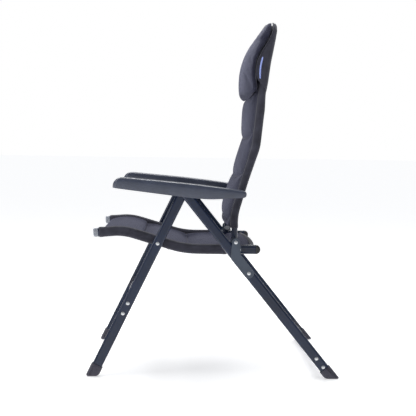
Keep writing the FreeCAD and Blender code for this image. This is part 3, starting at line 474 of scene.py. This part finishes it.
def air_filled(made, pinned, cap):
    """Swell a closed shape with air, its seams held, no point moving more than the cap."""
    held = made.vertex_groups.new(name="seams")
    for i, share in pinned.items():
        held.add([i], share, "REPLACE")
    cloth = made.modifiers.new("air", "CLOTH")
    cloth.settings.quality = 4
    cloth.settings.mass = 0.002
    cloth.settings.tension_stiffness = 8
    cloth.settings.compression_stiffness = 8
    cloth.settings.shear_stiffness = 3
    cloth.settings.bending_stiffness = 0.4
    cloth.settings.use_pressure = True
    cloth.settings.uniform_pressure_force = 4
    cloth.settings.vertex_group_mass = held.name
    cloth.settings.effector_weights.gravity = 0
    cloth.collision_settings.use_collision = False
    cloth.collision_settings.use_self_collision = False
    cloth.point_cache.frame_start = 1
    cloth.point_cache.frame_end = AIR_FRAMES
    rest = [v.co.copy() for v in made.data.vertices]
    for number in range(1, AIR_FRAMES + 1):
        scene.frame_set(number)
    swollen = made.evaluated_get(bpy.context.evaluated_depsgraph_get()).data
    moves = [v.co - r for v, r in zip(swollen.vertices, rest)]
    made.modifiers.clear()
    scene.frame_set(1)
    for v, r, m in zip(made.data.vertices, rest, moves):
        length = m.length
        v.co = r + m * (cap * math.tanh(length / cap) / length if length > 1e-9 else 0)


def stuffed(name, slab, upper, lower, seams, depth, cap, materials, warp=None):
    """A pad built flat: remeshed, shaped between two surfaces, quilted, filled and subdivided.

    upper and lower give the heights at (across, distance), and seams the share of a
    sewn channel there. Returns the object and a tree to find its surface by."""
    made = put_in_scene(name, slab, materials)
    remesh = made.modifiers.new("remesh", "REMESH")
    remesh.mode = "VOXEL"
    remesh.voxel_size = PAD_VOXEL
    applied(made)
    low = min(v.co.z for v in made.data.vertices)
    high = max(v.co.z for v in made.data.vertices)
    pinned = {}
    for v in made.data.vertices:
        x, s = v.co.x, v.co.y
        share = (v.co.z - low) / (high - low)
        top, under = upper(x, s), lower(x, s)
        sewn = seams(x, s)
        middle = top * 0.35 + under * 0.65
        top += (middle - top) * sewn * depth
        under += (middle - under) * sewn * depth * 0.6
        crease = noise.noise(Vector((x * 70, s * 70, share * 3))) * 0.0009
        v.co.z = under + (top - under) * share + crease * (0.3 + sewn)
        if warp:
            v.co.y = warp(x, s)
        if sewn > 0.55:
            pinned[v.index] = min(1.0, sewn)
    air_filled(made, pinned, cap)
    smoother = made.modifiers.new("smoother", "SMOOTH")
    smoother.factor = 0.5
    smoother.iterations = 2
    finer = made.modifiers.new("finer", "SUBSURF")
    finer.levels = 1
    finer.render_levels = 1
    applied(made)
    mesh = made.data
    mesh.shade_smooth()
    layer = mesh.uv_layers.new(name="weave")
    for loop in mesh.loops:
        co = mesh.vertices[loop.vertex_index].co
        layer.data[loop.index].uv = (co.x, co.y)
    if len(materials) > 1:
        for face in mesh.polygons:
            face.material_index = 1 if face.normal.z < -0.35 else 0
    bm = bmesh.new()
    bm.from_mesh(mesh)
    surface = BVHTree.FromBMesh(bm)
    bm.free()
    return made, surface


def stitched(name, rows, surface, line, side, thread, body):
    """Lock stitches laid on a flat-built surface along rows of (across, distance)."""
    bm = bmesh.new()
    for row in rows:
        for (x1, s1), (x2, s2) in zip(row, row[1:]):
            run = Vector((x2 - x1, s2 - s1, 0))
            count = max(1, round(run.length / STITCH_PITCH))
            for i in range(count):
                at = Vector((x1, s1, 0.2)) + run * ((i + 0.5) / count)
                hit = surface.ray_cast(at, Vector((0, 0, -1)))[0]
                if hit is None:
                    continue
                lay = run.to_track_quat("Y", "Z").to_matrix().to_4x4()
                lay.translation = hit + Vector((0, 0, 0.0002))
                size = Matrix.Diagonal((0.0007, STITCH_PITCH * 0.36, 0.0006, 1))
                bmesh.ops.create_icosphere(bm, subdivisions=1, radius=1, matrix=lay @ size)
    bend_onto(bm.verts, line, side)
    made = put_in_scene(name, bm, [thread])
    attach(made, body)
    return made


STITCH_PITCH = 0.0055

# spacer mesh: thick knitted polyester with rows of small round holes. Real holes are
# 1.5 mm apart; they are drawn 3 mm apart so that they show. The holes are real, but
# the dark inside each one is painted shade.
spacer_mesh, tree, shader = new_material("polyester spacer mesh", Roughness=0.85, Sheen_Weight=0.22,
                                         Sheen_Roughness=0.4, Sheen_Tint=colour("#C3C6E6"),
                                         Specular_IOR_Level=0.2)
MESH_HOLE_MM = 3.0
place = add(tree, "ShaderNodeUVMap", uv_map="weave")
turned = add(tree, "ShaderNodeMapping", {"Vector": place.outputs["UV"], "Rotation": (0, 0, math.radians(45)),
                                         "Scale": [1000 / MESH_HOLE_MM] * 3})
holes = add(tree, "ShaderNodeTexVoronoi", {"Vector": turned.outputs["Vector"], "Scale": 1.0,
                                           "Randomness": 0.12})
space = add(tree, "ShaderNodeTexCoord")
cloud = add(tree, "ShaderNodeTexNoise", {"Vector": space.outputs["Object"], "Scale": 38.0, "Detail": 5.0,
                                         "Roughness": 0.6})
yarn = add(tree, "ShaderNodeValToRGB", {"Fac": cloud.outputs["Fac"]}, [(0.28, "#242534"), (0.72, "#313243")])
# painted shade: the yarn colour is darkened in each hole, as if shade fell inside it
hole_shade = add(tree, "ShaderNodeValToRGB", {"Fac": holes.outputs["Distance"]},
                [(0.12, "#5A5A60"), (0.34, "#FFFFFF")])
woven = add(tree, "ShaderNodeMixRGB", {"Fac": 1.0, "Color1": yarn.outputs["Color"],
                                       "Color2": hole_shade.outputs["Color"]}, blend_type="MULTIPLY")
tree.links.new(woven.outputs["Color"], shader.inputs["Base Color"])
bump = add(tree, "ShaderNodeBump", {"Height": holes.outputs["Distance"], "Strength": 0.45,
                                    "Distance": 0.0008})
crumple = add(tree, "ShaderNodeBump", {"Height": cloud.outputs["Fac"], "Strength": 0.35, "Distance": 0.002,
                                       "Normal": bump.outputs["Normal"]})
tree.links.new(crumple.outputs["Normal"], shader.inputs["Normal"])

# woven polyester: flat, dense, dark, with a faint rib from its heavy yarn
woven_cloth, tree, shader = new_material("woven polyester", Roughness=0.8, Sheen_Weight=0.2,
                                         Sheen_Roughness=0.5, Specular_IOR_Level=0.3)
YARN_MM = 1.1
space = add(tree, "ShaderNodeTexCoord")
ribs = add(tree, "ShaderNodeTexVoronoi", {"Vector": space.outputs["Object"], "Scale": 1000 / YARN_MM / 2,
                                          "Randomness": 0.35})
cloud = add(tree, "ShaderNodeTexNoise", {"Vector": space.outputs["Object"], "Scale": 30.0, "Detail": 5.0})
tone = add(tree, "ShaderNodeValToRGB", {"Fac": cloud.outputs["Fac"]}, [(0.3, "#2A2A34"), (0.7, "#393945")])
tree.links.new(tone.outputs["Color"], shader.inputs["Base Color"])
bump = add(tree, "ShaderNodeBump", {"Height": ribs.outputs["Distance"], "Strength": 0.4, "Distance": 0.0006})
crumple = add(tree, "ShaderNodeBump", {"Height": cloud.outputs["Fac"], "Strength": 0.4, "Distance": 0.003,
                                       "Normal": bump.outputs["Normal"]})
tree.links.new(crumple.outputs["Normal"], shader.inputs["Normal"])

# bonded polyester thread: thick, twisted, with a slight shine
thread, tree, shader = new_material("bonded polyester thread", Roughness=0.5, Sheen_Weight=0.2)
space = add(tree, "ShaderNodeTexCoord")
twist = add(tree, "ShaderNodeTexNoise", {"Vector": space.outputs["Object"], "Scale": 900.0})
tone = add(tree, "ShaderNodeValToRGB", {"Fac": twist.outputs["Fac"]}, [(0.3, "#2A2A30"), (0.7, "#3D3D46")])
tree.links.new(tone.outputs["Color"], shader.inputs["Base Color"])

seat_line = bent_line(SEAT_LINE)
seat_start = reach(seat_line, 0, SEAT_PAD_REAR)
seat_end = reach(seat_line, 0, SEAT_PAD_FRONT)
seat_seams = [reach(seat_line, 0, y) for y in SEAT_CHANNELS]
SEAT_SEAM_INSET = 0.009
REAR_BOW_REACH = 0.12


def channel(distance, width=CHANNEL_WIDE):
    """Share of a sewn channel at a distance from its stitch line."""
    return math.exp(-(distance / width) ** 2)


def seat_sewn(x, s):
    edge = channel(SEAT_PAD_HALF - SEAT_SEAM_INSET - abs(x), 0.005) * 0.5
    return max([channel(s - at) for at in seat_seams] + [edge])


def seat_top(x, s):
    return SEAT_TOP_EDGE + (SEAT_TOP_MIDDLE - SEAT_TOP_EDGE) * (1 - (abs(x) / SEAT_PAD_HALF) ** 3)


def bowed(x):
    """How far behind its ends the rear bar lies at a place across."""
    return REAR_BAR_BOW * (1 - (x / REAR_BAR_HALF) ** 2)


def seat_warp(x, s):
    share = min(max(1 - (s - seat_start) / REAR_BOW_REACH, 0), 1)
    return s - bowed(x) * share ** 2


def seat_under(x, s):
    return SEAT_UNDER + 0.003 * (abs(x) / SEAT_PAD_HALF) ** 3


slab = flat_slab(SEAT_PAD_HALF, seat_start, seat_end, 0.024, 0.006, 0.010, 0.004)
seat_pad, surface = stuffed("seat_pad", slab, seat_top, seat_under, seat_sewn, 0.85, 0.006,
                            [spacer_mesh, woven_cloth], seat_warp)
seam_x = SEAT_PAD_HALF - SEAT_SEAM_INSET
rows = [[(x, seat_start + 0.01), (x, seat_end - 0.01)] for x in (-seam_x, seam_x)]
rows += [[(-SEAT_PAD_HALF + 0.012, at), (SEAT_PAD_HALF - 0.012, at)] for at in seat_seams]
stitched("seat_stitching", rows, surface, seat_line, 1, thread, "seat")
bend_onto(seat_pad.data.vertices, seat_line, 1)
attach(seat_pad, "seat")


def sleeve_shape(segments, rings, start, end, section):
    """A straight open tube along y whose section is a function of the share round it."""
    bm = bmesh.new()
    bmesh.ops.create_cone(bm, cap_ends=False, segments=segments, radius1=1, radius2=1, depth=1)
    bmesh.ops.rotate(bm, verts=bm.verts, matrix=Matrix.Rotation(math.radians(90), 3, "X"))
    long_edges = [e for e in bm.edges if abs(e.verts[0].co.y - e.verts[1].co.y) > 0.5]
    bmesh.ops.subdivide_edges(bm, edges=long_edges, cuts=rings)
    for v in bm.verts:
        share = (math.atan2(v.co.z, v.co.x) / (2 * math.pi)) % 1.0
        across, high = section(share)
        v.co = (across, start + (v.co.y + 0.5) * (end - start), high)
    return bm


def hemmed(verts, start, end, centre_x, hem, amount, slack):
    """Stand a tube's two ends out as hems and let its cloth ripple a little."""
    for v in verts:
        from_end = min(v.co.y - start, end - v.co.y)
        fold = amount * (1 - min(max((from_end - hem) / 0.003, 0), 1))
        ripple = noise.noise(Vector((v.co.x * 60, v.co.y * 16, v.co.z * 60))) * slack
        out = Vector((v.co.x - centre_x, 0, v.co.z))
        v.co += out.normalized() * (fold + ripple)


sleeve_start = reach(seat_line, 0, SEAT_SLEEVE_REAR)
sleeve_end = reach(seat_line, 0, SEAT_SLEEVE_FRONT)


def rail_sleeve(share):
    across, high = flat_oval(share, SEAT_SLEEVE_TALL, SEAT_SLEEVE_WIDE)
    return (RAIL_X + across, high)


bm = sleeve_shape(48, 90, sleeve_start, sleeve_end, rail_sleeve)
hemmed(bm.verts, sleeve_start, sleeve_end, RAIL_X, 0.012, 0.0005, 0.0005)
bend_onto(bm.verts, seat_line, 1)
face_outwards(bm)
twin = mirrored_copy(bm)
for side, shape in (("left", bm), ("right", twin)):
    sleeve = put_in_scene("seat_sleeve_" + side, shape, [woven_cloth])
    thicken(sleeve, CLOTH_THICK)
    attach(sleeve, "seat")


def bar_sleeve(share):
    angle = 2 * math.pi * share
    return (math.cos(angle) * REAR_SLEEVE, math.sin(angle) * REAR_SLEEVE)


bm = sleeve_shape(36, 60, -REAR_BAR_HALF, REAR_BAR_HALF, bar_sleeve)
hemmed(bm.verts, -REAR_BAR_HALF, REAR_BAR_HALF, 0, 0.010, 0.0004, 0.0006)
bmesh.ops.rotate(bm, verts=bm.verts, matrix=Matrix.Rotation(math.radians(90), 3, "Z"))
for v in bm.verts:
    v.co += Vector((0, REAR_BAR_Y + bowed(v.co.x), REAR_BAR_Z))
face_outwards(bm)
wrap = put_in_scene("seat_rear_sleeve", bm, [woven_cloth])
thicken(wrap, CLOTH_THICK)
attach(wrap, "seat")
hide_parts("seat_cover")


# Back frame: one round tube bent to the sitter's back and closed over the head,
# enamelled like the legs, with a bowed brace across it behind the cover.

finish_nodes(enamel, "back_frame", "back_cross_brace")


# Back cover: a quilted panel of spacer mesh on the sitter's side, lined behind
# with woven polyester and sewn into one long sleeve over the tube.

BACK_LINE = ((0.06968, 0.437936, 0), (0.06968, 0.534936, 0.190),
             (0.136423, 0.760259, 0.190), (0.178431, 1.159936, 0))
BACK_X = 0.222
BACK_CORNER = 0.075
BACK_PAD_HALF = 0.2125
BACK_COVER_LOW = 0.490
BACK_FRONT_MIDDLE, BACK_FRONT_EDGE, BACK_REAR = 0.0285, 0.0175, -0.0055
UPPER_SWELL = 0.009
BACK_TOP_FRONT = 0.006
BACK_CHANNELS = (0.5085, 0.650, 0.787, 0.930)
CHANNEL_RISE = 0.020
BACK_SLEEVE = 0.0112
SLEEVE_FORWARD, SLEEVE_SLACK = 1.28, 0.30

back_line = bent_line(BACK_LINE)
back_start = reach(back_line, 1, BACK_COVER_LOW)
back_top = back_line[-1][0]
back_seams = [reach(back_line, 1, z) for z in BACK_CHANNELS]


def back_sewn(x, s):
    lift = CHANNEL_RISE * (abs(x) / BACK_PAD_HALF) ** 5
    edge = channel(BACK_PAD_HALF - 0.008 - abs(x), 0.005) * 0.6
    return max([channel(s - at - lift) for at in back_seams] + [edge])


def back_front(x, s):
    swell = UPPER_SWELL * min(max((s - back_seams[2]) / 0.10, 0), 1)
    crown = BACK_FRONT_MIDDLE + swell - BACK_FRONT_EDGE
    full = BACK_FRONT_EDGE + crown * (1 - (abs(x) / BACK_PAD_HALF) ** 2.5)
    under_pillow = min(max((s - back_top + 0.14) / 0.10, 0), 1)
    return full + (BACK_TOP_FRONT - full) * under_pillow


def back_rear(x, s):
    return BACK_REAR


slab = flat_slab(BACK_PAD_HALF, back_start, back_top - 0.0105, 0.024, 0.012, 0.062, 0.004)
back_pad, surface = stuffed("back_pad", slab, back_front, back_rear, back_sewn, 0.36, 0.007,
                            [spacer_mesh, woven_cloth])
seam_x = BACK_PAD_HALF - 0.008
rows = [[(x, back_start + 0.01), (x, back_top - 0.08)] for x in (-seam_x, seam_x)]
for at in back_seams:
    steps = [BACK_PAD_HALF * 0.95 * k / 20 for k in range(-20, 21)]
    rows.append([(x, at + CHANNEL_RISE * (abs(x) / BACK_PAD_HALF) ** 5) for x in steps])
stitched("back_stitching", rows, surface, back_line, -1, thread, "backrest")
bend_onto(back_pad.data.vertices, back_line, -1)
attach(back_pad, "backrest")
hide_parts("back_cover")


def tube_sleeve(share):
    angle = 2 * math.pi * share
    high = math.sin(angle) * BACK_SLEEVE
    return (BACK_X + math.cos(angle) * BACK_SLEEVE, high * (SLEEVE_FORWARD if high > 0 else 1))


bm = sleeve_shape(36, 130, back_start, back_top - BACK_CORNER, tube_sleeve)
hemmed(bm.verts, back_start, back_start + 9, BACK_X, 0.012, 0.0006, 0.0005)
for v in bm.verts:
    if v.co.z < 0:
        rising = min(max((v.co.y - back_seams[1]) / 0.12, 0), 1)
        under_hood = min(max((back_seams[3] - v.co.y) / 0.045, 0), 1)
        v.co.z *= 1 + SLEEVE_SLACK * rising * under_hood
rim = [e for e in bm.edges if all(abs(v.co.y - (back_top - BACK_CORNER)) < 0.0004 for v in e.verts)]
turn = bmesh.ops.spin(bm, geom=rim, cent=(BACK_X - BACK_CORNER, back_top - BACK_CORNER, 0), axis=(0, 0, 1),
                      angle=math.radians(90), steps=12, use_duplicate=False)["geom_last"]
rim = [g for g in turn if isinstance(g, bmesh.types.BMEdge)]
for step in range(10):
    made = bmesh.ops.extrude_edge_only(bm, edges=rim)["geom"]
    moved = [g for g in made if isinstance(g, bmesh.types.BMVert)]
    bmesh.ops.translate(bm, vec=(-(BACK_X - BACK_CORNER) / 10, 0, 0), verts=moved)
    rim = [g for g in made if isinstance(g, bmesh.types.BMEdge) and all(v in moved for v in g.verts)]
for v in moved:
    v.co.x = 0
half = bmesh.ops.duplicate(bm, geom=bm.verts[:] + bm.edges[:] + bm.faces[:])["geom"]
bmesh.ops.scale(bm, vec=(-1, 1, 1), verts=[g for g in half if isinstance(g, bmesh.types.BMVert)])
bmesh.ops.remove_doubles(bm, verts=bm.verts, dist=0.00005)
face_outwards(bm)
bend_onto(bm.verts, back_line, -1)
face_outwards(bm)
back_sleeve = put_in_scene("back_sleeve", bm, [woven_cloth])
thicken(back_sleeve, CLOTH_THICK)
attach(back_sleeve, "backrest")


# Head pillow: a wedge of foam in spacer mesh, sewn to a stretchy woven hood
# that slips over the top of the back and holds it there.

PILLOW_HALF = 0.236
PILLOW_LOW = 0.918
PILLOW_RISE = 0.018
HOOD_HALF = 0.2385
HOOD_LOW = 0.944
HOOD_RISE = 0.030
HOOD_OVER = 0.0015
PEAK_ABOVE = 0.012
HOOD_CORNER = 0.055
HOOD_ROUND = 0.016

pillow_start = reach(back_line, 1, PILLOW_LOW)
peak = back_top + PEAK_ABOVE


def eased(table, s):
    """Height from a table of (distance, height), eased between its rows."""
    if s <= table[0][0]:
        return table[0][1]
    for (s1, h1), (s2, h2) in zip(table, table[1:]):
        if s <= s2:
            return h1 + (h2 - h1) * (s - s1) / (s2 - s1)
    return table[-1][1]


def heights(*rows):
    """A table of heights over the tube's centre line, from rows of (z, height)."""
    return [(reach(back_line, 1, z) if z < BACK_LINE[-1][1] else back_top + z - BACK_LINE[-1][1], h)
            for z, h in rows]


PILLOW_FACE = heights((0.918, 0.033), (0.928, 0.044), (0.942, 0.0505), (0.965, 0.0550), (1.000, 0.0590),
                      (1.040, 0.0575), (1.075, 0.0515), (1.100, 0.0440), (1.117, 0.0365), (1.135, 0.0250),
                      (1.150, 0.0155), (1.160, 0.0128), (1.168, 0.0085), (1.176, -0.0070))
PILLOW_BACK = heights((0.918, 0.031), (1.090, 0.0300), (1.125, 0.0200), (1.145, 0.0130), (1.160, 0.0122),
                      (1.168, 0.0065), (1.176, -0.0125))
SIDE_SEAM = heights((0.945, 0.018), (0.959, 0.023), (0.979, 0.0285), (1.011, 0.0315), (1.044, 0.0285),
                    (1.070, 0.019), (1.105, 0.002), (1.142, -0.0095), (1.168, -0.0080), (1.179, -0.0070))
HOOD_REAR = heights((0.944, -0.0125), (0.962, -0.0138), (1.040, -0.0165), (1.110, -0.0215), (1.143, -0.0235),
                    (1.160, -0.022), (1.170, -0.018), (1.176, -0.0125))


def pillow_face(x, s):
    share = (abs(x) / PILLOW_HALF) ** 4
    low = eased(SIDE_SEAM, s) + 0.010 if s < back_top - 0.05 else eased(PILLOW_BACK, s)
    face = eased(PILLOW_FACE, s)
    return face + (low - face) * share * 0.55


def drawn_in(half, s):
    """Half a width at a distance, drawn in round the top corners."""
    over = s - (peak - HOOD_CORNER)
    if over <= 0:
        return half
    return half - HOOD_CORNER + math.sqrt(max(HOOD_CORNER ** 2 - over ** 2, 0))


def pillow_back(x, s):
    blend = min(max((abs(x) - drawn_in(PILLOW_HALF, s) + 0.014) / 0.010, 0), 1)
    return eased(PILLOW_BACK, s) * (1 - blend) + eased(SIDE_SEAM, s) * blend


def pillow_sewn(x, s):
    return max(channel(drawn_in(PILLOW_HALF, s) - abs(x), 0.004), channel(peak - s, 0.018)) * 0.9


def pillow_warp(x, s):
    share = 1 - (s - pillow_start) / (peak - pillow_start)
    return s + PILLOW_RISE * (abs(x) / PILLOW_HALF) ** 4 * share ** 2


slab = flat_slab(PILLOW_HALF, pillow_start, peak, 0.03, 0.020, HOOD_CORNER, 0.006)
pillow, surface = stuffed("head_pillow_pad", slab, pillow_face, pillow_back, pillow_sewn, 0.3, 0.006,
                          [spacer_mesh, woven_cloth], pillow_warp)
bend_onto(pillow.data.vertices, back_line, -1)
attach(pillow, "backrest")
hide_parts("head_pillow")


def round_the_back(share, half, front, rear, radius):
    """Place on a U from one front edge, round behind, to the other front edge."""
    radius = min(radius, (front - rear) * 0.9, half)
    side = front - rear - radius
    bend = math.pi / 2 * radius
    total = side + bend + half - radius
    way = abs(share) * total
    sign = 1 if share >= 0 else -1
    if way < half - radius:
        return (sign * way, rear)
    way -= half - radius
    if way < bend:
        angle = way / radius
        return (sign * (half - radius + radius * math.sin(angle)), rear + radius * (1 - math.cos(angle)))
    return (sign * half, rear + radius + way - bend)


bm = bmesh.new()
bmesh.ops.create_grid(bm, x_segments=90, y_segments=46, size=1)
hood_start = reach(back_line, 1, HOOD_LOW)
for v in bm.verts:
    share = (v.co.y + 1) / 2
    s = hood_start + (peak + HOOD_OVER - hood_start) * math.sin(share * math.pi / 2)
    front, rear = eased(SIDE_SEAM, s), eased(HOOD_REAR, s)
    across, high = round_the_back(v.co.x, drawn_in(HOOD_HALF, s), front, rear, HOOD_ROUND)
    low_corner = 1 - min(max((s - hood_start) / 0.05, 0), 1)
    towards_front = min(max((high - rear) / max(front - rear, 0.001), 0), 1)
    slack = noise.noise(Vector((across * 22, s * 26, high * 22))) * 0.0011
    v.co = (across * (1 + slack * 2), s + HOOD_RISE * towards_front * low_corner, high - slack * 0.6)
bend_onto(bm.verts, back_line, -1)
face_outwards(bm)
hood = put_in_scene("pillow_hood", bm, [woven_cloth])
thicken(hood, 0.0011)
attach(hood, "backrest")


def piped(name, points, radius, material, body):
    """A rounded binding along points."""
    curve = bpy.data.curves.new(name, "CURVE")
    curve.dimensions = "3D"
    curve.bevel_depth = radius
    curve.bevel_resolution = 3
    curve.use_fill_caps = True
    spline = curve.splines.new("NURBS")
    spline.points.add(len(points) - 1)
    for knot, point in zip(spline.points, points):
        knot.co = (*point, 1)
    spline.use_endpoint_u = True
    spline.order_u = 3
    made = bpy.data.objects.new(name, curve)
    scene.collection.objects.link(made)
    bpy.context.view_layer.update()
    mesh = bpy.data.meshes.new_from_object(made.evaluated_get(bpy.context.evaluated_depsgraph_get()))
    bpy.data.objects.remove(made)
    mesh.materials.clear()
    mesh.materials.append(material)
    mesh.shade_smooth()
    made = bpy.data.objects.new(name, mesh)
    scene.collection.objects.link(made)
    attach(made, body)
    return made


for side, sign in (("left", 1), ("right", -1)):
    points = []
    for k in range(25):
        s = hood_start + HOOD_RISE + (peak - 0.004 - hood_start - HOOD_RISE) * k / 24
        y, z = on_line(back_line, s, eased(SIDE_SEAM, s), -1)
        points.append((sign * drawn_in(HOOD_HALF, s), y, z))
    piped("pillow_piping_" + side, points, 0.0016, woven_cloth, "backrest")


# Side tag: a folded strip of pale blue satin tape, plain, caught in the seam
# between pillow and hood on the sitter's left.

TAG_LOW, TAG_HIGH, TAG_WIDE = 0.982, 1.052, 0.0048

# satin tape: smooth polyester ribbon with a soft shine
satin, tree, shader = new_material("satin tape", Roughness=0.42, Sheen_Weight=0.3, Sheen_Roughness=0.3)
space = add(tree, "ShaderNodeTexCoord")
floss = add(tree, "ShaderNodeTexNoise", {"Vector": space.outputs["Object"], "Scale": 600.0, "Detail": 2.0})
tone = add(tree, "ShaderNodeValToRGB", {"Fac": floss.outputs["Fac"]}, [(0.3, "#8193DE"), (0.7, "#A9B8F2")])
tree.links.new(tone.outputs["Color"], shader.inputs["Base Color"])
bump = add(tree, "ShaderNodeBump", {"Height": floss.outputs["Fac"], "Strength": 0.2, "Distance": 0.0003})
tree.links.new(bump.outputs["Normal"], shader.inputs["Normal"])

bm = bmesh.new()
bmesh.ops.create_grid(bm, x_segments=4, y_segments=16, size=1)
tag_start, tag_end = reach(back_line, 1, TAG_LOW), reach(back_line, 1, TAG_HIGH)
for v in bm.verts:
    s = tag_start + (tag_end - tag_start) * (v.co.y + 1) / 2
    pinch = 1 - 0.35 * v.co.y ** 4
    bow = 0.004 * (1 - v.co.y ** 2)
    high = 0.0165 + bow - TAG_WIDE * pinch * (v.co.x + 1) / 2
    v.co = (HOOD_HALF + 0.0012 + 0.0008 * (1 - v.co.x ** 2), s, high)
bend_onto(bm.verts, back_line, -1)
bmesh.ops.recalc_face_normals(bm, faces=bm.faces)
tag = put_in_scene("side_tag", bm, [satin])
thicken(tag, 0.0006)
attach(tag, "backrest")


# Armrests: hollow polypropylene mouldings with a crowned top and a deep skirt,
# hinged on a boss at the back tube and resting on the leg pivot pins.

ARM_HINGE = (0.090711, 0.605936)
ARM_INNER, ARM_OUTER = 0.2595, 0.3145
ARM_LONG = 0.4225
ARM_BOSS = 0.011
ARM_TOPS = ((-0.011, 0.0), (-0.0105, 0.0035), (-0.009, 0.0065), (-0.006, 0.0092), (0.0, 0.0111),
            (0.040, 0.0145), (0.090, 0.0187), (0.140, 0.0222), (0.200, 0.0258), (0.270, 0.0288),
            (0.340, 0.0316), (0.385, 0.0334), (0.3925, 0.0330), (0.400, 0.0317), (0.4075, 0.0288),
            (0.4125, 0.0252), (0.4165, 0.0207), (0.420, 0.0145), (0.4225, 0.0050))
ARM_BOTTOMS = ((-0.011, 0.0), (-0.0105, -0.0035), (-0.009, -0.0065), (-0.006, -0.0092), (0.0, -0.0111),
               (0.020, -0.0130), (0.060, -0.0173), (0.090, -0.0203), (0.115, -0.0215), (0.150, -0.0208),
               (0.200, -0.0177), (0.270, -0.0127), (0.340, -0.0073), (0.4225, -0.0010))
ARM_NOSE_PLAN = 0.024
ARM_TAIL_PLAN = 0.006
ARM_EDGE = 0.0075
ARM_WALL = 0.0029
ARM_CROWN = 0.0012

# moulded polypropylene: spark-eroded satin skin, slightly purple dark grey-blue
moulded, tree, shader = new_material("moulded polypropylene", IOR=1.49, Coat_Weight=0.55,
                                     Coat_Roughness=0.12)
SKIN_GRAIN_MM = 1.4
space = add(tree, "ShaderNodeTexCoord")
flow = add(tree, "ShaderNodeTexNoise", {"Vector": space.outputs["Object"], "Scale": 16.0, "Detail": 3.0})
tone = add(tree, "ShaderNodeValToRGB", {"Fac": flow.outputs["Fac"]}, [(0.3, "#2C3345"), (0.7, "#363D50")])
tree.links.new(tone.outputs["Color"], shader.inputs["Base Color"])
grain = add(tree, "ShaderNodeTexNoise", {"Vector": space.outputs["Object"],
                                         "Scale": 1000 / SKIN_GRAIN_MM / 2, "Detail": 3.0})
satin_skin = add(tree, "ShaderNodeMapRange", {"Value": grain.outputs["Fac"], "To Min": 0.28, "To Max": 0.40})
tree.links.new(satin_skin.outputs["Result"], shader.inputs["Roughness"])
bump = add(tree, "ShaderNodeBump", {"Height": grain.outputs["Fac"], "Strength": 0.18, "Distance": 0.0003})
tree.links.new(bump.outputs["Normal"], shader.inputs["Normal"])

arm_way = Vector((LEG_PIVOT[0] - ARM_HINGE[0], LEG_PIVOT[1] - ARM_HINGE[1])).normalized()


def arm_half(f):
    """Half the armrest's width at a distance ahead of its hinge."""
    full = (ARM_OUTER - ARM_INNER) / 2
    nose = f - (ARM_LONG - ARM_NOSE_PLAN)
    tail = (-ARM_BOSS + ARM_TAIL_PLAN) - f
    if nose > 0:
        return full - ARM_NOSE_PLAN + math.sqrt(max(ARM_NOSE_PLAN ** 2 - nose ** 2, 0))
    if tail > 0:
        return full - ARM_TAIL_PLAN + math.sqrt(max(ARM_TAIL_PLAN ** 2 - tail ** 2, 0))
    return full


bm = bmesh.new()
bmesh.ops.create_grid(bm, x_segments=8, y_segments=64, size=1)
for v in bm.verts:
    share = (v.co.y + 1) / 2
    f = -ARM_BOSS + (ARM_LONG + ARM_BOSS) * (0.5 - 0.5 * math.cos(math.pi * share)) ** 0.9
    high = eased(ARM_TOPS, f) + ARM_CROWN * (1 - v.co.x ** 2)
    v.co = (v.co.x * arm_half(f), f, high)
rim = [e for e in bm.edges if e.is_boundary]
made = bmesh.ops.extrude_edge_only(bm, edges=rim)["geom"]
skirt = [g for g in made if isinstance(g, bmesh.types.BMVert)]
for v in skirt:
    v.co.z = min(eased(ARM_BOTTOMS, v.co.y), v.co.z - 0.0004)
bmesh.ops.recalc_face_normals(bm, faces=bm.faces)
rim = [e for e in bm.edges if len(e.link_faces) == 2 and e.calc_face_angle() > 0.9
       and min(v.co.y for v in e.verts) > -ARM_BOSS + 0.004]
bmesh.ops.bevel(bm, geom=rim, offset=ARM_EDGE, segments=5, profile=0.5, affect="EDGES", material=-1,
                clamp_overlap=True)
for v in bm.verts:
    f, high = v.co.y, v.co.z
    across = (ARM_INNER + ARM_OUTER) / 2 + v.co.x
    v.co = (across, ARM_HINGE[0] + arm_way.x * f + arm_way.y * high,
            ARM_HINGE[1] + arm_way.y * f - arm_way.x * high)
face_outwards(bm)
twin = mirrored_copy(bm)
for side, shape in (("left", bm), ("right", twin)):
    arm = put_in_scene("arm_moulding_" + side, shape, [moulded])
    thicken(arm, ARM_WALL, 0.0006)
    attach(arm, "arm_" + side)
    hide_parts("armrest_" + side)

finish_nodes(moulded, "arm_rack_left", "arm_rack_right", "arm_hinge_bases")
